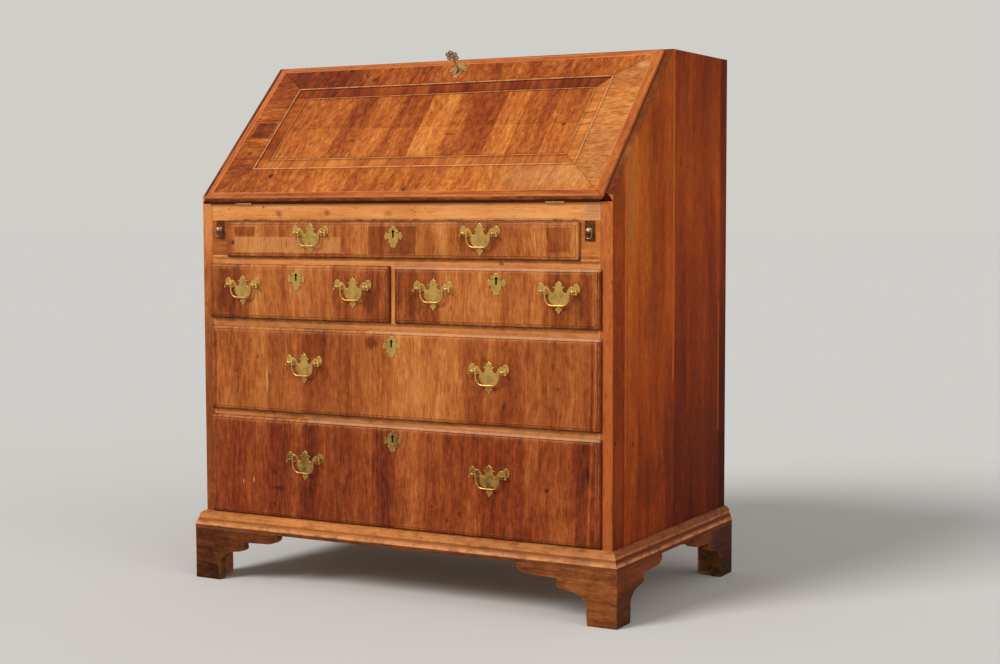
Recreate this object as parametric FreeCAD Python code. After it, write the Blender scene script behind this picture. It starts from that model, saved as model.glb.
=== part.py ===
import FreeCAD, Part
import math
import os

os.makedirs("parts", exist_ok=True)

# A slant-front desk in millimetres: X to the right, Y to the back, Z up.
# The origin is on the floor, under the middle of the object's box.

# Driving sizes of the case
case_width = 914.0
case_depth = 545.0
case_height = 1051.0
writing_height = 762.0
flat_top_depth = 276.0
side_thickness = 24.0
board_thickness = 20.0
top_thickness = 18.0
back_thickness = 12.0
nose_rise = 14.0
nose_land = 10.0
overrun = 5.0

# Base moulding and bracket feet
foot_height = 103.0
fascia_height = 8.0
moulding_height = 27.0
bottom_lift = 6.0
moulding_projection = 17.0
foot_thickness = 20.0
bracket_length = 204.0
block_size = 34.0
block_lift = 4.0

# Heights of the front, from the top rail down
top_rail_height = 34.0
rail_depth = 22.0
first_opening = 69.0
first_rail = 20.0
second_opening = 103.0
second_rail = 21.0
third_opening = 163.0
third_rail = 17.0
bottom_rail_rise = 4.0
divider_x = -2.75
divider_thickness = 18.5
guide_height = 16.0
dust_gap = 60.0

# Lopers and their housings
loper_width = 21.0
loper_height = 37.0
loper_tail = 63.0
loper_inset = 20.5
housing_width = 43.5
slide_gap = 0.4
knob_stem_radius = 2.2
knob_stem_reach = 7.0
knob_head_radius = 4.2
knob_root = 9.0
knob_rose = 1.1
knob_drop = 16.5
ring_wire = 1.1
ring_play = 0.2
ring_leg = 6.5
ring_bend = 2.2

# Drawers
lip_proud = 8.0
lip_rounding = 5.5
field_rise = 0.9
field_inset = 7.0
lip_overlap_x = 4.0
lip_overlap_z = 3.0
lip_shy = 1.5
front_block = 15.0
drawer_side = 10.0
drawer_bottom = 8.0
bottom_rise = 5.0
drawer_tail = 48.0
drawer_play = 1.2
seat_gap = 0.3
lip_rounding_share = 0.85

# Handles, escutcheons and locks
plate_width = 86.0
plate_height = 61.0
plate_thickness = 2.0
post_spacing = 62.4
post_drop = 19.0
post_reach = 6.5
post_head_radius = 4.3
post_neck_radius = 2.4
shank_radius = 2.0
nut_size = 9.0
nut_thickness = 3.0
bail_wire = 1.6
bail_inset = 6.6
bail_drop = 26.0
bail_corner = 15.0
bail_bend = 2.4
bail_tail = 3.0
bail_tip_radius = 2.1
pin_play = 0.05
escutcheon_width = 40.0
escutcheon_height = 40.0
escutcheon_thickness = 1.6
eye_drop = 10.0
keyhole_radius = 2.6
keyhole_slot = 3.6
keyhole_length = 11.0
lock_width = 56.0
lock_height = 34.0
lock_depth = 8.0
lock_keyway = 4.0

# Fall, its hinges and its lock
hinge_proud = 3.0
fall_thickness = 17.0
fall_overlap = 9.0
fall_low_edge = 2.0
fall_rounding = 6.5
frame_side = 80.0
frame_low = 81.0
frame_top = 69.0
band_width = 31.0
band_drop = 3.2
bead_width = 3.0
bead_rise = 0.8
fillet_width = 2.0
fillet_rise = 0.7
core_clearance = 1.5
side_clearance = 0.6
leaf_width = 38.0
leaf_length = 20.0
leaf_thickness = 2.0
leaf_place_shares = [-0.808, 0.796]
barrel_radius = 3.2
hinge_pin_radius = 1.3
knuckle_gap = 0.3
screw_head_radius = 2.8
screw_head_depth = 1.2
screw_radius = 1.3
screw_length = 7.0
screw_pitch = 12.0
screw_back = 12.0
strip_depth = 20.0
fall_lock_share = 0.0185
fall_lock_inset = 16.0
fall_lock_width = 60.0
fall_lock_depth = 7.0
fall_lock_wall = 1.4
fall_lock_tail = 18.0
bolt_width = 32.0
bolt_tail_width = 6.0
bolt_tail_reach = 14.0
bolt_notch = 3.0
bolt_play = 0.2
bolt_throw = 6.0
bit_reach = 8.0
bit_width = 2.2
key_shaft_radius = 2.3
key_bow_height = 54.0
bow_thickness = 3.0
bow_lobe = 4.8
bow_spread = 9.2
bow_hole = 2.5
bow_lobes = 6
collar_radius = 3.8
collar_length = 3.5
collar_drop = 13.0

# Inside fittings
gallery_step = 6.0
gallery_board = 8.0
pillar_thickness = 12.0
centre_share = 0.196
small_drawer_height = 58.0
small_drawer_side = 5.0
small_drawer_front = 12.0
small_drawer_tail = 21.0
small_knob_radius = 6.5
small_knob_reach = 13.0
valance_share = 0.185
valance_land_share = 0.24
valance_thickness = 6.0

# Pegs and nails
peg_radius = 2.6
peg_length = 14.0
peg_drop = 11.0
peg_place_shares = [-0.9, -0.56, -0.2, 0.16, 0.52, 0.88]
nail_radius = 1.6
nail_head_radius = 3.2
nail_head = 1.0
nail_length = 16.0
nail_inset = 12.0

# Places along the front, as shares of half the width between the sides
first_handle_shares = [-0.432, 0.443]
second_left_handle_shares = [-0.813, -0.206]
second_right_handle_shares = [0.211, 0.818]
long_handle_shares = [-0.473, 0.485]
first_lock_share = 0.008
second_left_lock_share = -0.513
second_right_lock_share = 0.522
third_lock_share = -0.005
fourth_lock_share = -0.002
# From the top of each drawer front down to its handles and its escutcheon
first_tip = 2.5
second_tip = 21.5
third_tip = 48.0
fourth_tip = 60.0
first_lock_tip = 9.0
second_lock_tip = 10.0
third_lock_tip = 9.0
fourth_lock_tip = 11.0

# Half outlines, as shares of the half width and of the height. A step with two
# shares is a straight line to that point; one with four is an arc whose first
# pair is a point that it passes through.
plate_shares = [
    (0.074, -0.069), (0.150, -0.107, 0.140, -0.161), (0.285, -0.190), (0.262, -0.225),
    (0.180, -0.250, 0.205, -0.310), (0.275, -0.368, 0.390, -0.310),
    (0.480, -0.215, 0.590, -0.165), (0.660, -0.192), (0.800, -0.085, 0.985, -0.215),
    (0.985, -0.300, 0.900, -0.365), (0.780, -0.400), (0.640, -0.430, 0.530, -0.395),
    (0.455, -0.415), (0.495, -0.470, 0.470, -0.545), (0.400, -0.650, 0.250, -0.712),
    (0.140, -0.740, 0.070, -0.752), (0.060, -0.790), (0.135, -0.812),
    (0.165, -0.842, 0.085, -0.866), (0.095, -0.905), (0.0, -1.0)]
escutcheon_shares = [
    (0.225, -0.03, 0.325, -0.12), (0.525, -0.138), (0.44, -0.215),
    (0.60, -0.26, 0.67, -0.30), (0.93, -0.34, 1.0, -0.45), (0.94, -0.588, 0.70, -0.61),
    (0.525, -0.625, 0.50, -0.70), (0.55, -0.775), (0.375, -0.805),
    (0.31, -0.94, 0.0, -1.0)]
# A bracket foot's sawn edge from the floor up, as shares of its length and height
foot_shares = [
    (0.300, 0.26), (0.330, 0.47, 0.440, 0.58), (0.530, 0.60),
    (0.578, 0.63, 0.588, 0.70), (0.588, 0.79), (0.900, 0.81),
    (0.972, 0.86, 0.985, 1.0)]
foot_toe_share = 0.290
# A valance's lower edge from its land to the middle of the bay
valance_shares = [(0.28, 0.42, 0.36, 0.16), (0.44, 0.52, 0.5, 0.86)]

# Worked-out places
V = FreeCAD.Vector
half_width = case_width / 2
inner_half = half_width - side_thickness
front_reach = lip_proud + plate_thickness + post_reach + post_head_radius
y_front = (front_reach - case_depth) / 2
y_back = y_front + case_depth
y_inner_back = y_back - back_thickness
y_top = y_back - flat_top_depth
nose_height = writing_height + nose_rise
base_top = foot_height + fascia_height + moulding_height
moulding_underside = foot_height + fascia_height
bottom_underside = moulding_underside + bottom_lift
slope = math.atan2(case_height - nose_height, case_depth - flat_top_depth)
slope_degrees = math.degrees(slope)
hinge_y = y_front - hinge_proud

z_rail_under = writing_height - top_rail_height
z_first = z_rail_under - first_opening
z_second_top = z_first - first_rail
z_second = z_second_top - second_opening
z_third_top = z_second - second_rail
z_third = z_third_top - third_opening
z_fourth_top = z_third - third_rail
z_fourth = base_top + bottom_rail_rise
y_rail_back = y_front + rail_depth
z_loper = z_rail_under - loper_height
loper_offset = inner_half - loper_inset
housing_inner = inner_half - housing_width
leaf_places = [share * inner_half for share in leaf_place_shares]


def box(x0, x1, y0, y1, z0, z1):
    """A block between two corners."""
    return Part.makeBox(x1 - x0, y1 - y0, z1 - z0, V(x0, y0, z0))


def rod(x, y, z, axis, radius, length):
    """A round bar that starts at a point and runs along an axis."""
    return Part.makeCylinder(radius, length, V(x, y, z), axis)


def prism(points, along):
    """A closed polygon of vectors, carried along a vector."""
    return Part.Face(Part.makePolygon(points + [points[0]])).extrude(along)


def mirrored(shape):
    """The same piece on the other side of the desk."""
    return shape.mirror(V(0, 0, 0), V(1, 0, 0))


def moved(shape, x, y, z):
    """A copy of a piece, carried to a place."""
    copy = shape.copy()
    copy.translate(V(x, y, z))
    return copy


def path_edges(start, steps, place):
    """Lines and arcs through outline steps, with place turning a pair into a vector."""
    edges = []
    here = place(*start)
    for step in steps:
        there = place(*step[-2:])
        if len(step) == 2:
            edges.append(Part.LineSegment(here, there).toShape())
        else:
            edges.append(Part.Arc(here, place(*step[:2]), there).toShape())
        here = there
    return edges


def symmetric_face(steps, half, height):
    """A face in the XZ plane from a half outline, with its top tip at the origin."""
    edges = path_edges((0, 0), steps, lambda a, b: V(a * half, 0, b * height))
    other = [edge.mirror(V(0, 0, 0), V(1, 0, 0)) for edge in edges]
    return Part.Face(Part.Wire(Part.__sortEdges__(edges + other)))


def keyhole(x, z, y0, y1):
    """A round keyhole with its slot below, through from y0 to y1."""
    eye = rod(x, y0, z, V(0, 1, 0), keyhole_radius, y1 - y0)
    slot = box(x - keyhole_slot / 2, x + keyhole_slot / 2, y0, y1, z - keyhole_length, z)
    return eye.fuse(slot).removeSplitter()


def tube(edges, radius, start, direction):
    """A round wire along a smooth path."""
    ring = Part.Wire(Part.makeCircle(radius, start, direction))
    return Part.Wire(edges).makePipeShell([ring], True, False)


def on_fall(shape):
    """Carry a piece from the fall's own frame (X, up the slope, outwards) to the desk."""
    copy = shape.copy()
    copy.Placement = FreeCAD.Placement(V(0, hinge_y, writing_height),
                                       FreeCAD.Rotation(V(1, 0, 0), slope_degrees))
    return copy


nodes = {}


def sides_of_case():
    """The side boards with the slope, the nose notch and the rebate for the back."""
    outline = [V(inner_half, y_front, foot_height), V(inner_half, y_front, nose_height),
               V(inner_half, y_top, case_height), V(inner_half, y_back, case_height),
               V(inner_half, y_back, foot_height)]
    board = prism(outline, V(side_thickness, 0, 0))
    notch = prism([V(inner_half - overrun, y_front - overrun, writing_height),
                   V(half_width, y_front - overrun, writing_height),
                   V(half_width - nose_land, y_front - overrun, nose_height),
                   V(inner_half - overrun, y_front - overrun, nose_height)],
                  V(0, overrun + nose_rise, 0))
    rebate = box(inner_half - overrun, inner_half + side_thickness / 2, y_inner_back,
                 y_back + overrun, foot_height - overrun, case_height - top_thickness)
    board = board.cut(notch).cut(rebate)
    nodes["right_side"] = board
    nodes["left_side"] = mirrored(board)


def boards_of_case():
    """Top, bottom and writing boards, and the three back boards."""
    under = case_height - top_thickness
    y_under = y_top - top_thickness / math.tan(slope)
    points = [(y_top, case_height), (y_back, case_height), (y_back, under), (y_under, under)]
    top = prism([V(-inner_half, y, z) for y, z in points], V(2 * inner_half, 0, 0))
    mortise = on_fall(fall_lock_mortise())
    nodes["top_board"] = [top.cut(mortise), closing_strip(y_under, under).cut(mortise)]
    nodes["bottom_board"] = box(-inner_half, inner_half, y_rail_back, y_inner_back,
                                z_fourth - board_thickness, z_fourth)
    nodes["writing_board"] = box(-inner_half, inner_half, y_rail_back, y_inner_back,
                                 writing_height - board_thickness, writing_height)
    half = inner_half + side_thickness / 2
    low = z_fourth - board_thickness
    step = (under - low) / 3
    nails = []
    boards = []
    for k in range(3):
        z0 = low + k * step
        board = box(-half, half, y_inner_back, y_back, z0, z0 + step)
        for side in (-1, 1):
            for z in (z0 + nail_inset, z0 + step - nail_inset):
                nail = back_nail(side * (inner_half + side_thickness / 4), z)
                board = board.cut(nail)
                nails.append(nail)
        boards.append(board)
    nodes["back_boards"] = boards
    return nails


def closing_strip(y_under, under):
    """The strip under the top board's front edge, which the fall's bolt enters."""
    rot = FreeCAD.Rotation(V(1, 0, 0), slope_degrees)
    foot_s = core_s1 + side_clearance
    corners = [rot.multVec(V(0, foot_s, n)) + V(0, hinge_y, writing_height)
               for n in (side_plane, side_plane - strip_depth)]
    outline = [V(0, y_under, under), corners[0], corners[1], V(0, corners[1].y, under)]
    return prism([V(-inner_half, p.y, p.z) for p in outline], V(2 * inner_half, 0, 0))


def back_nail(x, z):
    """A nail driven through a back board into the side, with its head let in."""
    shank = rod(x, y_back, z, V(0, -1, 0), nail_radius, back_thickness)
    head = rod(x, y_back, z, V(0, -1, 0), nail_head_radius, nail_head)
    return head.fuse(shank).removeSplitter()


def rails_of_case():
    """The top rail, the drawer rails with the divider, and the dust boards."""
    rail = box(-inner_half, inner_half, y_front, y_rail_back, z_rail_under, writing_height)
    barrel = 2 * knuckle_gap + barrel_radius
    for leaf_x in leaf_places:
        rail = rail.cut(rod(leaf_x - leaf_width / 2 - knuckle_gap, hinge_y, writing_height,
                            V(1, 0, 0), barrel, leaf_width + 2 * knuckle_gap))
        for piece in fixed_leaf(leaf_x):
            rail = rail.cut(piece)
    pegs = []
    for share in peg_place_shares:
        peg = rod(share * inner_half, y_front, writing_height - peg_drop, V(0, 1, 0),
                  peg_radius, peg_length)
        rail = rail.cut(peg)
        pegs.append(peg)
    nodes["top_rail"] = rail

    levels = [(z_second_top, z_first), (z_third_top, z_second), (z_fourth_top, z_third),
              (bottom_underside, z_fourth)]
    rails = [box(-inner_half, inner_half, y_front, y_rail_back, z0, z1) for z0, z1 in levels]
    divider = box(divider_x - divider_thickness / 2, divider_x + divider_thickness / 2,
                  y_front, y_rail_back, z_second, z_second_top)
    nodes["drawer_rails"] = rails + [divider]

    y_dust = y_inner_back - dust_gap
    dust = [box(-inner_half, inner_half, y_rail_back, y_dust, z0, z1) for z0, z1 in levels[:3]]
    guide = box(divider_x - divider_thickness / 2, divider_x + divider_thickness / 2,
                y_rail_back, y_dust, z_second, z_second + guide_height)
    nodes["dust_boards"] = dust + [guide]
    return pegs


def loper_housings():
    """At each end of the first drawer: a front block and a channel for the loper."""
    x0 = loper_offset - loper_width / 2
    x1 = loper_offset + loper_width / 2
    block = box(housing_inner, inner_half, y_front, y_rail_back, z_first, z_rail_under)
    block = block.cut(box(x0, x1, y_front - overrun, y_rail_back + overrun,
                          z_loper, z_rail_under + overrun))
    under_board = writing_height - board_thickness
    y_dust = y_inner_back - dust_gap
    wall = box(housing_inner, x0, y_rail_back, y_dust, z_first, under_board)
    floor = box(x0, inner_half, y_rail_back, y_dust, z_first, z_loper)
    outer = box(x1, inner_half, y_rail_back, y_dust, z_loper, under_board)
    cap = box(x0, x1, y_rail_back, y_dust, z_rail_under, under_board)
    right = [block, wall, floor, outer, cap]
    nodes["loper_housings"] = right + [mirrored(piece) for piece in right]


def base_moulding():
    """A moulded band round the front and sides, mitred at the front corners."""
    m = moulding_projection
    z1 = moulding_underside
    run = moulding_height
    profile = [(0, foot_height), (m, foot_height), (m, z1)]
    steps = [(0.955 * m, z1 + 0.12 * run), (0.80 * m, z1 + 0.30 * run, 0.76 * m, z1 + 0.42 * run),
             (0.66 * m, z1 + 0.45 * run), (0.50 * m, z1 + 0.83 * run, 0.14 * m, z1 + 0.96 * run),
             (0, base_top)]

    def solid(place, along, length):
        wire = [Part.LineSegment(place(*a), place(*b)).toShape()
                for a, b in zip(profile, profile[1:])]
        wire += path_edges(profile[-1], steps, place)
        wire.append(Part.LineSegment(place(0, base_top), place(*profile[0])).toShape())
        return Part.Face(Part.Wire(wire)).extrude(along * length)

    reach = half_width + m
    front = solid(lambda p, z: V(-reach, y_front - p, z), V(1, 0, 0), 2 * reach)
    corners = [V(-reach, y_front - m, 0), V(reach, y_front - m, 0),
               V(half_width, y_front, 0), V(-half_width, y_front, 0)]
    front = front.common(prism(corners, V(0, 0, case_height)))
    side = solid(lambda p, z: V(half_width + p, y_front - m, z), V(0, 1, 0), case_depth + m)
    corners = [V(half_width, y_front, 0), V(reach, y_front - m, 0), V(reach, y_back, 0),
               V(half_width, y_back, 0)]
    side = side.common(prism(corners, V(0, 0, case_height)))
    nodes["base_moulding"] = [front, side, mirrored(side)]


def bracket(place, along):
    """A foot's sawn bracket, from its outer corner along the base."""
    toe = foot_toe_share * bracket_length
    steps = [tuple(value * size for value, size in
                   zip(step, (bracket_length, foot_height) * 2)) for step in foot_shares]
    edges = path_edges((toe, 0), steps, place)
    last = steps[-1][-2:]
    for a, b in (((0, 0), (toe, 0)), (last, (0, foot_height)), ((0, foot_height), (0, 0))):
        edges.append(Part.LineSegment(place(*a), place(*b)).toShape())
    return Part.Face(Part.Wire(Part.__sortEdges__(edges))).extrude(along)


def feet():
    """Bracket feet with glue blocks in their corners."""
    m = moulding_projection
    t = foot_thickness
    x1 = half_width + m
    y0 = y_front - m
    reach = bracket_length + overrun
    front = bracket(lambda a, b: V(x1 - a, y0, b), V(0, t, 0))
    front = front.common(prism([V(x1, y0, 0), V(x1 - t, y0 + t, 0), V(x1 - reach, y0 + t, 0),
                                V(x1 - reach, y0, 0)], V(0, 0, foot_height)))
    side = bracket(lambda a, b: V(x1, y0 + a, b), V(-t, 0, 0))
    side = side.common(prism([V(x1, y0, 0), V(x1 - t, y0 + t, 0), V(x1 - t, y0 + reach, 0),
                              V(x1, y0 + reach, 0)], V(0, 0, foot_height)))
    block = box(x1 - t - block_size, x1 - t, y0 + t, y0 + t + block_size,
                block_lift, foot_height)
    right = [front, side, block]
    nodes["front_feet"] = right + [mirrored(piece) for piece in right]

    side = bracket(lambda a, b: V(x1, y_back - a, b), V(-t, 0, 0))
    rear_length = bracket_length * foot_toe_share + block_size
    rear = box(x1 - t - rear_length, x1 - t, y_back - t, y_back, foot_height / 2, foot_height)
    block = box(x1 - t - block_size, x1 - t, y_back - t - block_size, y_back - t,
                block_lift, foot_height)
    right = [side, rear, block]
    nodes["back_feet"] = right + [mirrored(piece) for piece in right]


def screws(leaf_x, y, z, direction):
    """Three countersunk screws in a hinge leaf, heads flush with its face."""
    found = []
    for k in (-1, 0, 1):
        head = Part.makeCone(screw_head_radius, screw_radius, screw_head_depth,
                             V(leaf_x + k * screw_pitch, y, z), direction)
        shank = rod(leaf_x + k * screw_pitch, y, z, direction, screw_radius, screw_length)
        found.append(head.fuse(shank).removeSplitter())
    return found


def knuckles(leaf_x, ends):
    """The hinge's barrel pieces on the axis: both ends, or the middle."""
    third = leaf_width / 3
    places = [(-1, 1)] if not ends else [(-3, -1), (1, 3)]
    spans = []
    for a, b in places:
        low = leaf_x + a * third / 2 + (knuckle_gap / 2 if a > -3 else 0)
        high = leaf_x + b * third / 2 - (knuckle_gap / 2 if b < 3 else 0)
        spans.append((low, high))
    return spans


def fixed_leaf(leaf_x):
    """The leaf on the top rail, with its knuckles, its pin and its screws."""
    x0 = leaf_x - leaf_width / 2
    x1 = leaf_x + leaf_width / 2
    z0 = writing_height - leaf_thickness
    clear = hinge_y + barrel_radius + knuckle_gap
    leaf = box(x0, x1, clear, y_front + leaf_length, z0, writing_height)
    for low, high in knuckles(leaf_x, True):
        leaf = leaf.fuse(box(low, high, hinge_y, clear, z0, writing_height))
        leaf = leaf.fuse(rod(low, hinge_y, writing_height, V(1, 0, 0), barrel_radius, high - low))
    leaf = leaf.fuse(rod(x0, hinge_y, writing_height, V(1, 0, 0), hinge_pin_radius, x1 - x0))
    held = screws(leaf_x, y_front + screw_back, writing_height, V(0, 0, -1))
    for screw in held:
        leaf = leaf.cut(screw)
    return [leaf.removeSplitter()] + held


def moving_leaf(leaf_x):
    """The leaf in the fall's inner face, in the fall's own frame."""
    x0 = leaf_x - leaf_width / 2
    x1 = leaf_x + leaf_width / 2
    clear = barrel_radius + knuckle_gap
    leaf = box(x0, x1, clear, leaf_length + hinge_proud, 0, leaf_thickness)
    for low, high in knuckles(leaf_x, False):
        leaf = leaf.fuse(box(low, high, 0, clear, 0, leaf_thickness))
        leaf = leaf.fuse(rod(low, 0, 0, V(1, 0, 0), barrel_radius, high - low))
        leaf = leaf.cut(rod(low - overrun, 0, 0, V(1, 0, 0), hinge_pin_radius + pin_play,
                            high - low + 2 * overrun))
    held = screws(leaf_x, screw_back + hinge_proud, 0, V(0, 0, 1))
    for screw in held:
        leaf = leaf.cut(screw)
    return [leaf.removeSplitter()] + held


# The fall in its own frame: X, then up the slope from the hinge, then outwards.
side_plane = nose_rise * math.cos(slope) - hinge_proud * math.sin(slope)
core_thickness = side_plane + seat_gap
fall_half_width = inner_half + fall_overlap
fall_s0 = -fall_low_edge
top_under = case_height - top_thickness - writing_height
core_s1 = (top_under - side_plane * math.cos(slope)) / math.sin(slope) - core_clearance
fall_s1 = (case_height - writing_height - fall_thickness * math.cos(slope)) / math.sin(slope)
core_half = inner_half - side_clearance
window_half = fall_half_width - frame_side
window_s0 = fall_s0 + frame_low
window_s1 = fall_s1 - frame_top
fall_lock_x = fall_lock_share * inner_half
lock_s = core_s1 - fall_lock_inset
bolt_s1 = core_s1 - bolt_play
bolt_n0 = fall_lock_wall + bolt_play
bolt_n1 = fall_lock_depth - fall_lock_wall - bolt_play


def fall_keyhole(n0, n1):
    """The keyhole through the fall, its slot towards the hinge."""
    eye = rod(fall_lock_x, lock_s, n0, V(0, 0, 1), keyhole_radius, n1 - n0)
    slot = box(fall_lock_x - keyhole_slot / 2, fall_lock_x + keyhole_slot / 2,
               lock_s - keyhole_length, lock_s, n0, n1)
    return eye.fuse(slot).removeSplitter()


def fall_lock_mortise():
    """The hole in the top board that the bolt enters."""
    play = 2 * bolt_play
    return box(fall_lock_x - bolt_width / 2 - play, fall_lock_x + bolt_width / 2 + play,
               bolt_s1, bolt_s1 + bolt_throw + overrun,
               fall_lock_wall - play, fall_lock_depth - fall_lock_wall + play)


def fall_lock_case():
    """A flat box lock, open at the top edge for the bolt."""
    x0 = fall_lock_x - fall_lock_width / 2
    x1 = fall_lock_x + fall_lock_width / 2
    case = box(x0, x1, lock_s - fall_lock_tail, core_s1, 0, fall_lock_depth)
    half = bolt_width / 2 + bolt_play
    hollow = box(fall_lock_x - half, fall_lock_x + half, lock_s - fall_lock_tail
                 + fall_lock_wall, core_s1 + overrun, fall_lock_wall,
                 fall_lock_depth - fall_lock_wall)
    hole = fall_keyhole(fall_lock_depth - fall_lock_wall - overrun, fall_lock_depth + overrun)
    return case, case.cut(hollow).cut(hole)


def fall_bolt():
    """A forked bolt, its tails either side of the key."""
    half = bolt_width / 2
    notch_s = lock_s + bolt_notch
    head = box(fall_lock_x - half, fall_lock_x + half, notch_s, bolt_s1, bolt_n0, bolt_n1)
    for side in (-1, 1):
        a = fall_lock_x + side * half
        b = fall_lock_x + side * (half - bolt_tail_width)
        head = head.fuse(box(min(a, b), max(a, b), lock_s - bolt_tail_reach, notch_s,
                             bolt_n0, bolt_n1))
    return head.removeSplitter()


def fall_key():
    """The key: bit in the lock, round shaft, collar and a pierced bow of small lobes."""
    shaft = rod(fall_lock_x, lock_s, bolt_n0, V(0, 0, 1), key_shaft_radius,
                key_bow_height - bolt_n0)
    bit = box(fall_lock_x - bit_width / 2, fall_lock_x + bit_width / 2, lock_s - bit_reach,
              lock_s, bolt_n0, bolt_n1)
    collar = rod(fall_lock_x, lock_s, key_bow_height - collar_drop, V(0, 0, 1),
                 collar_radius, collar_length)
    y0 = lock_s - bow_thickness / 2
    places = [(0, 0)]
    for k in range(1, bow_lobes):
        turn = 2 * math.pi * k / bow_lobes
        places.append((-bow_spread * math.sin(turn), -bow_spread * math.cos(turn)))
    key = shaft.fuse([bit, collar] + [
        rod(fall_lock_x + dx, y0, key_bow_height + dn, V(0, 1, 0), bow_lobe, bow_thickness)
        for dx, dn in places])
    for dx, dn in places:
        key = key.cut(rod(fall_lock_x + dx, lock_s - collar_radius, key_bow_height + dn,
                          V(0, 1, 0), bow_hole, 2 * collar_radius))
    return key.removeSplitter()


def around(outer, inner, section, turn):
    """Four lengths of a section between two rectangles, mitred where they meet.

    The section is a start and steps in (distance in from the edge, height), made for the
    width of each length. The mitre leaves each corner at 45 degrees for the stretch turn.
    """
    x0, s0, x1, s1 = outer
    u0, v0, u1, v1 = inner
    corners = [(x0, s0), (x1, s0), (x1, s1), (x0, s1)]
    bends = [(x0 + turn, s0 + turn), (x1 - turn, s0 + turn), (x1 - turn, s1 - turn),
             (x0 + turn, s1 - turn)]
    inside = [(u0, v0), (u1, v0), (u1, v1), (u0, v1)]
    places = [lambda a, n: V(x0, s0 + a, n), lambda a, n: V(x1 - a, s0, n),
              lambda a, n: V(x0, s1 - a, n), lambda a, n: V(x0 + a, s0, n)]
    widths = [v0 - s0, x1 - u1, s1 - v1, u0 - x0]
    lengths = []
    for k in range(4):
        j = (k + 1) % 4
        start, steps = section(widths[k])
        edges = path_edges(start, steps, places[k])
        run = V(x1 - x0, 0, 0) if k % 2 == 0 else V(0, s1 - s0, 0)
        strip = Part.Face(Part.Wire(edges)).extrude(run)
        ring = [corners[k], corners[j], bends[j], inside[j], inside[k], bends[k]]
        wedge = prism([V(a, b, 0) for a, b in ring], V(0, 0, fall_thickness + overrun))
        lengths.append(strip.common(wedge).removeSplitter())
    return lengths


def frame_section(width):
    """The frame: its lip rounded at the outer edge, square at the window."""
    r = min(fall_rounding, (fall_thickness - core_thickness) * lip_rounding_share)
    bow = r * (1 - math.sqrt(0.5))
    top = fall_thickness
    steps = [(0, top - r), (bow, top - bow, r, top), (width, top), (width, core_thickness),
             (0, core_thickness)]
    return (0, core_thickness), steps


def band_section(width):
    """The moulding: a bead, a slope down to the panel, and a small fillet."""
    low = fall_thickness - band_drop
    inner = width - fillet_width
    steps = [(0, fall_thickness + bead_rise), (bead_width, fall_thickness + bead_rise),
             (bead_width, fall_thickness - bead_rise), (inner, low), (inner, low + fillet_rise),
             (width, low + fillet_rise), (width, core_thickness), (0, core_thickness)]
    return (0, core_thickness), steps


def fall():
    """The sloping lid: core, lipped frame, sunk moulding, panel, hinge leaves and lock."""
    core = box(-core_half, core_half, fall_s0, core_s1, 0, core_thickness)
    barrel = barrel_radius + knuckle_gap
    leaves = []
    for leaf_x in leaf_places:
        leaves += moving_leaf(leaf_x)
        core = core.cut(rod(leaf_x - leaf_width / 2 - knuckle_gap, 0, 0, V(1, 0, 0), barrel,
                            leaf_width + 2 * knuckle_gap))
    for piece in leaves:
        core = core.cut(piece)
    block, case = fall_lock_case()
    core = core.cut(block).cut(fall_keyhole(0, fall_thickness))
    nodes["fall_core"] = on_fall(core)
    nodes["fall_hinge_leaves"] = [on_fall(piece) for piece in leaves]
    nodes["fall_lock"] = on_fall(case)

    outer = (-fall_half_width, fall_s0, fall_half_width, fall_s1)
    window = (-window_half, window_s0, window_half, window_s1)
    hole = fall_keyhole(0, fall_thickness + overrun)
    frame = around(outer, window, frame_section, fall_rounding)
    for inset in [hole, block] + leaves:
        frame = [piece.cut(inset) for piece in frame]
    nodes["fall_frame"] = [on_fall(piece) for piece in frame]
    panel = (-window_half + band_width, window_s0 + band_width,
             window_half - band_width, window_s1 - band_width)
    nodes["fall_moulding"] = [on_fall(piece) for piece in
                              around(window, panel, band_section, bead_width)]
    nodes["fall_panel"] = on_fall(box(panel[0], panel[2], panel[1], panel[3],
                                      core_thickness, fall_thickness - band_drop))

    badge = symmetric_face(escutcheon_shares, escutcheon_width / 2, escutcheon_height)
    badge = badge.extrude(V(0, -escutcheon_thickness, 0))
    badge.rotate(V(0, 0, 0), V(1, 0, 0), -90)
    badge = moved(badge, fall_lock_x, lock_s + escutcheon_height / 2, fall_thickness)
    nodes["fall_escutcheon"] = on_fall(badge.cut(hole))
    nodes["fall_bolt"] = on_fall(fall_bolt())
    nodes["fall_key"] = on_fall(fall_key())


def lopers():
    """The sliding arms that carry the open fall, each with a knob and a hanging ring."""
    half = loper_width / 2 - slide_gap
    loper_end = y_inner_back - loper_tail
    knob_z = z_rail_under - knob_drop
    knob_y = y_front - knob_stem_reach
    for side, x in (("left", -loper_offset), ("right", loper_offset)):
        stem = rod(x, knob_y, knob_z, V(0, 1, 0), knob_stem_radius,
                   knob_stem_reach + knob_root)
        bar = box(x - half, x + half, y_front, loper_end, z_loper + seat_gap,
                  z_rail_under - slide_gap)
        head = Part.makeSphere(knob_head_radius, V(x, knob_y, knob_z))
        rose = rod(x, y_front, knob_z, V(0, -1, 0), knob_head_radius, knob_rose)
        bore = rod(x - knob_head_radius - overrun, knob_y, knob_z, V(1, 0, 0),
                   ring_wire + pin_play, 2 * (knob_head_radius + overrun))
        nodes[side + "_loper"] = bar.cut(stem)
        nodes[side + "_loper_knob"] = stem.fuse([head, rose]).cut(bore).removeSplitter()
        nodes[side + "_loper_ring"] = ring_pull(x, knob_y, knob_z)


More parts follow.
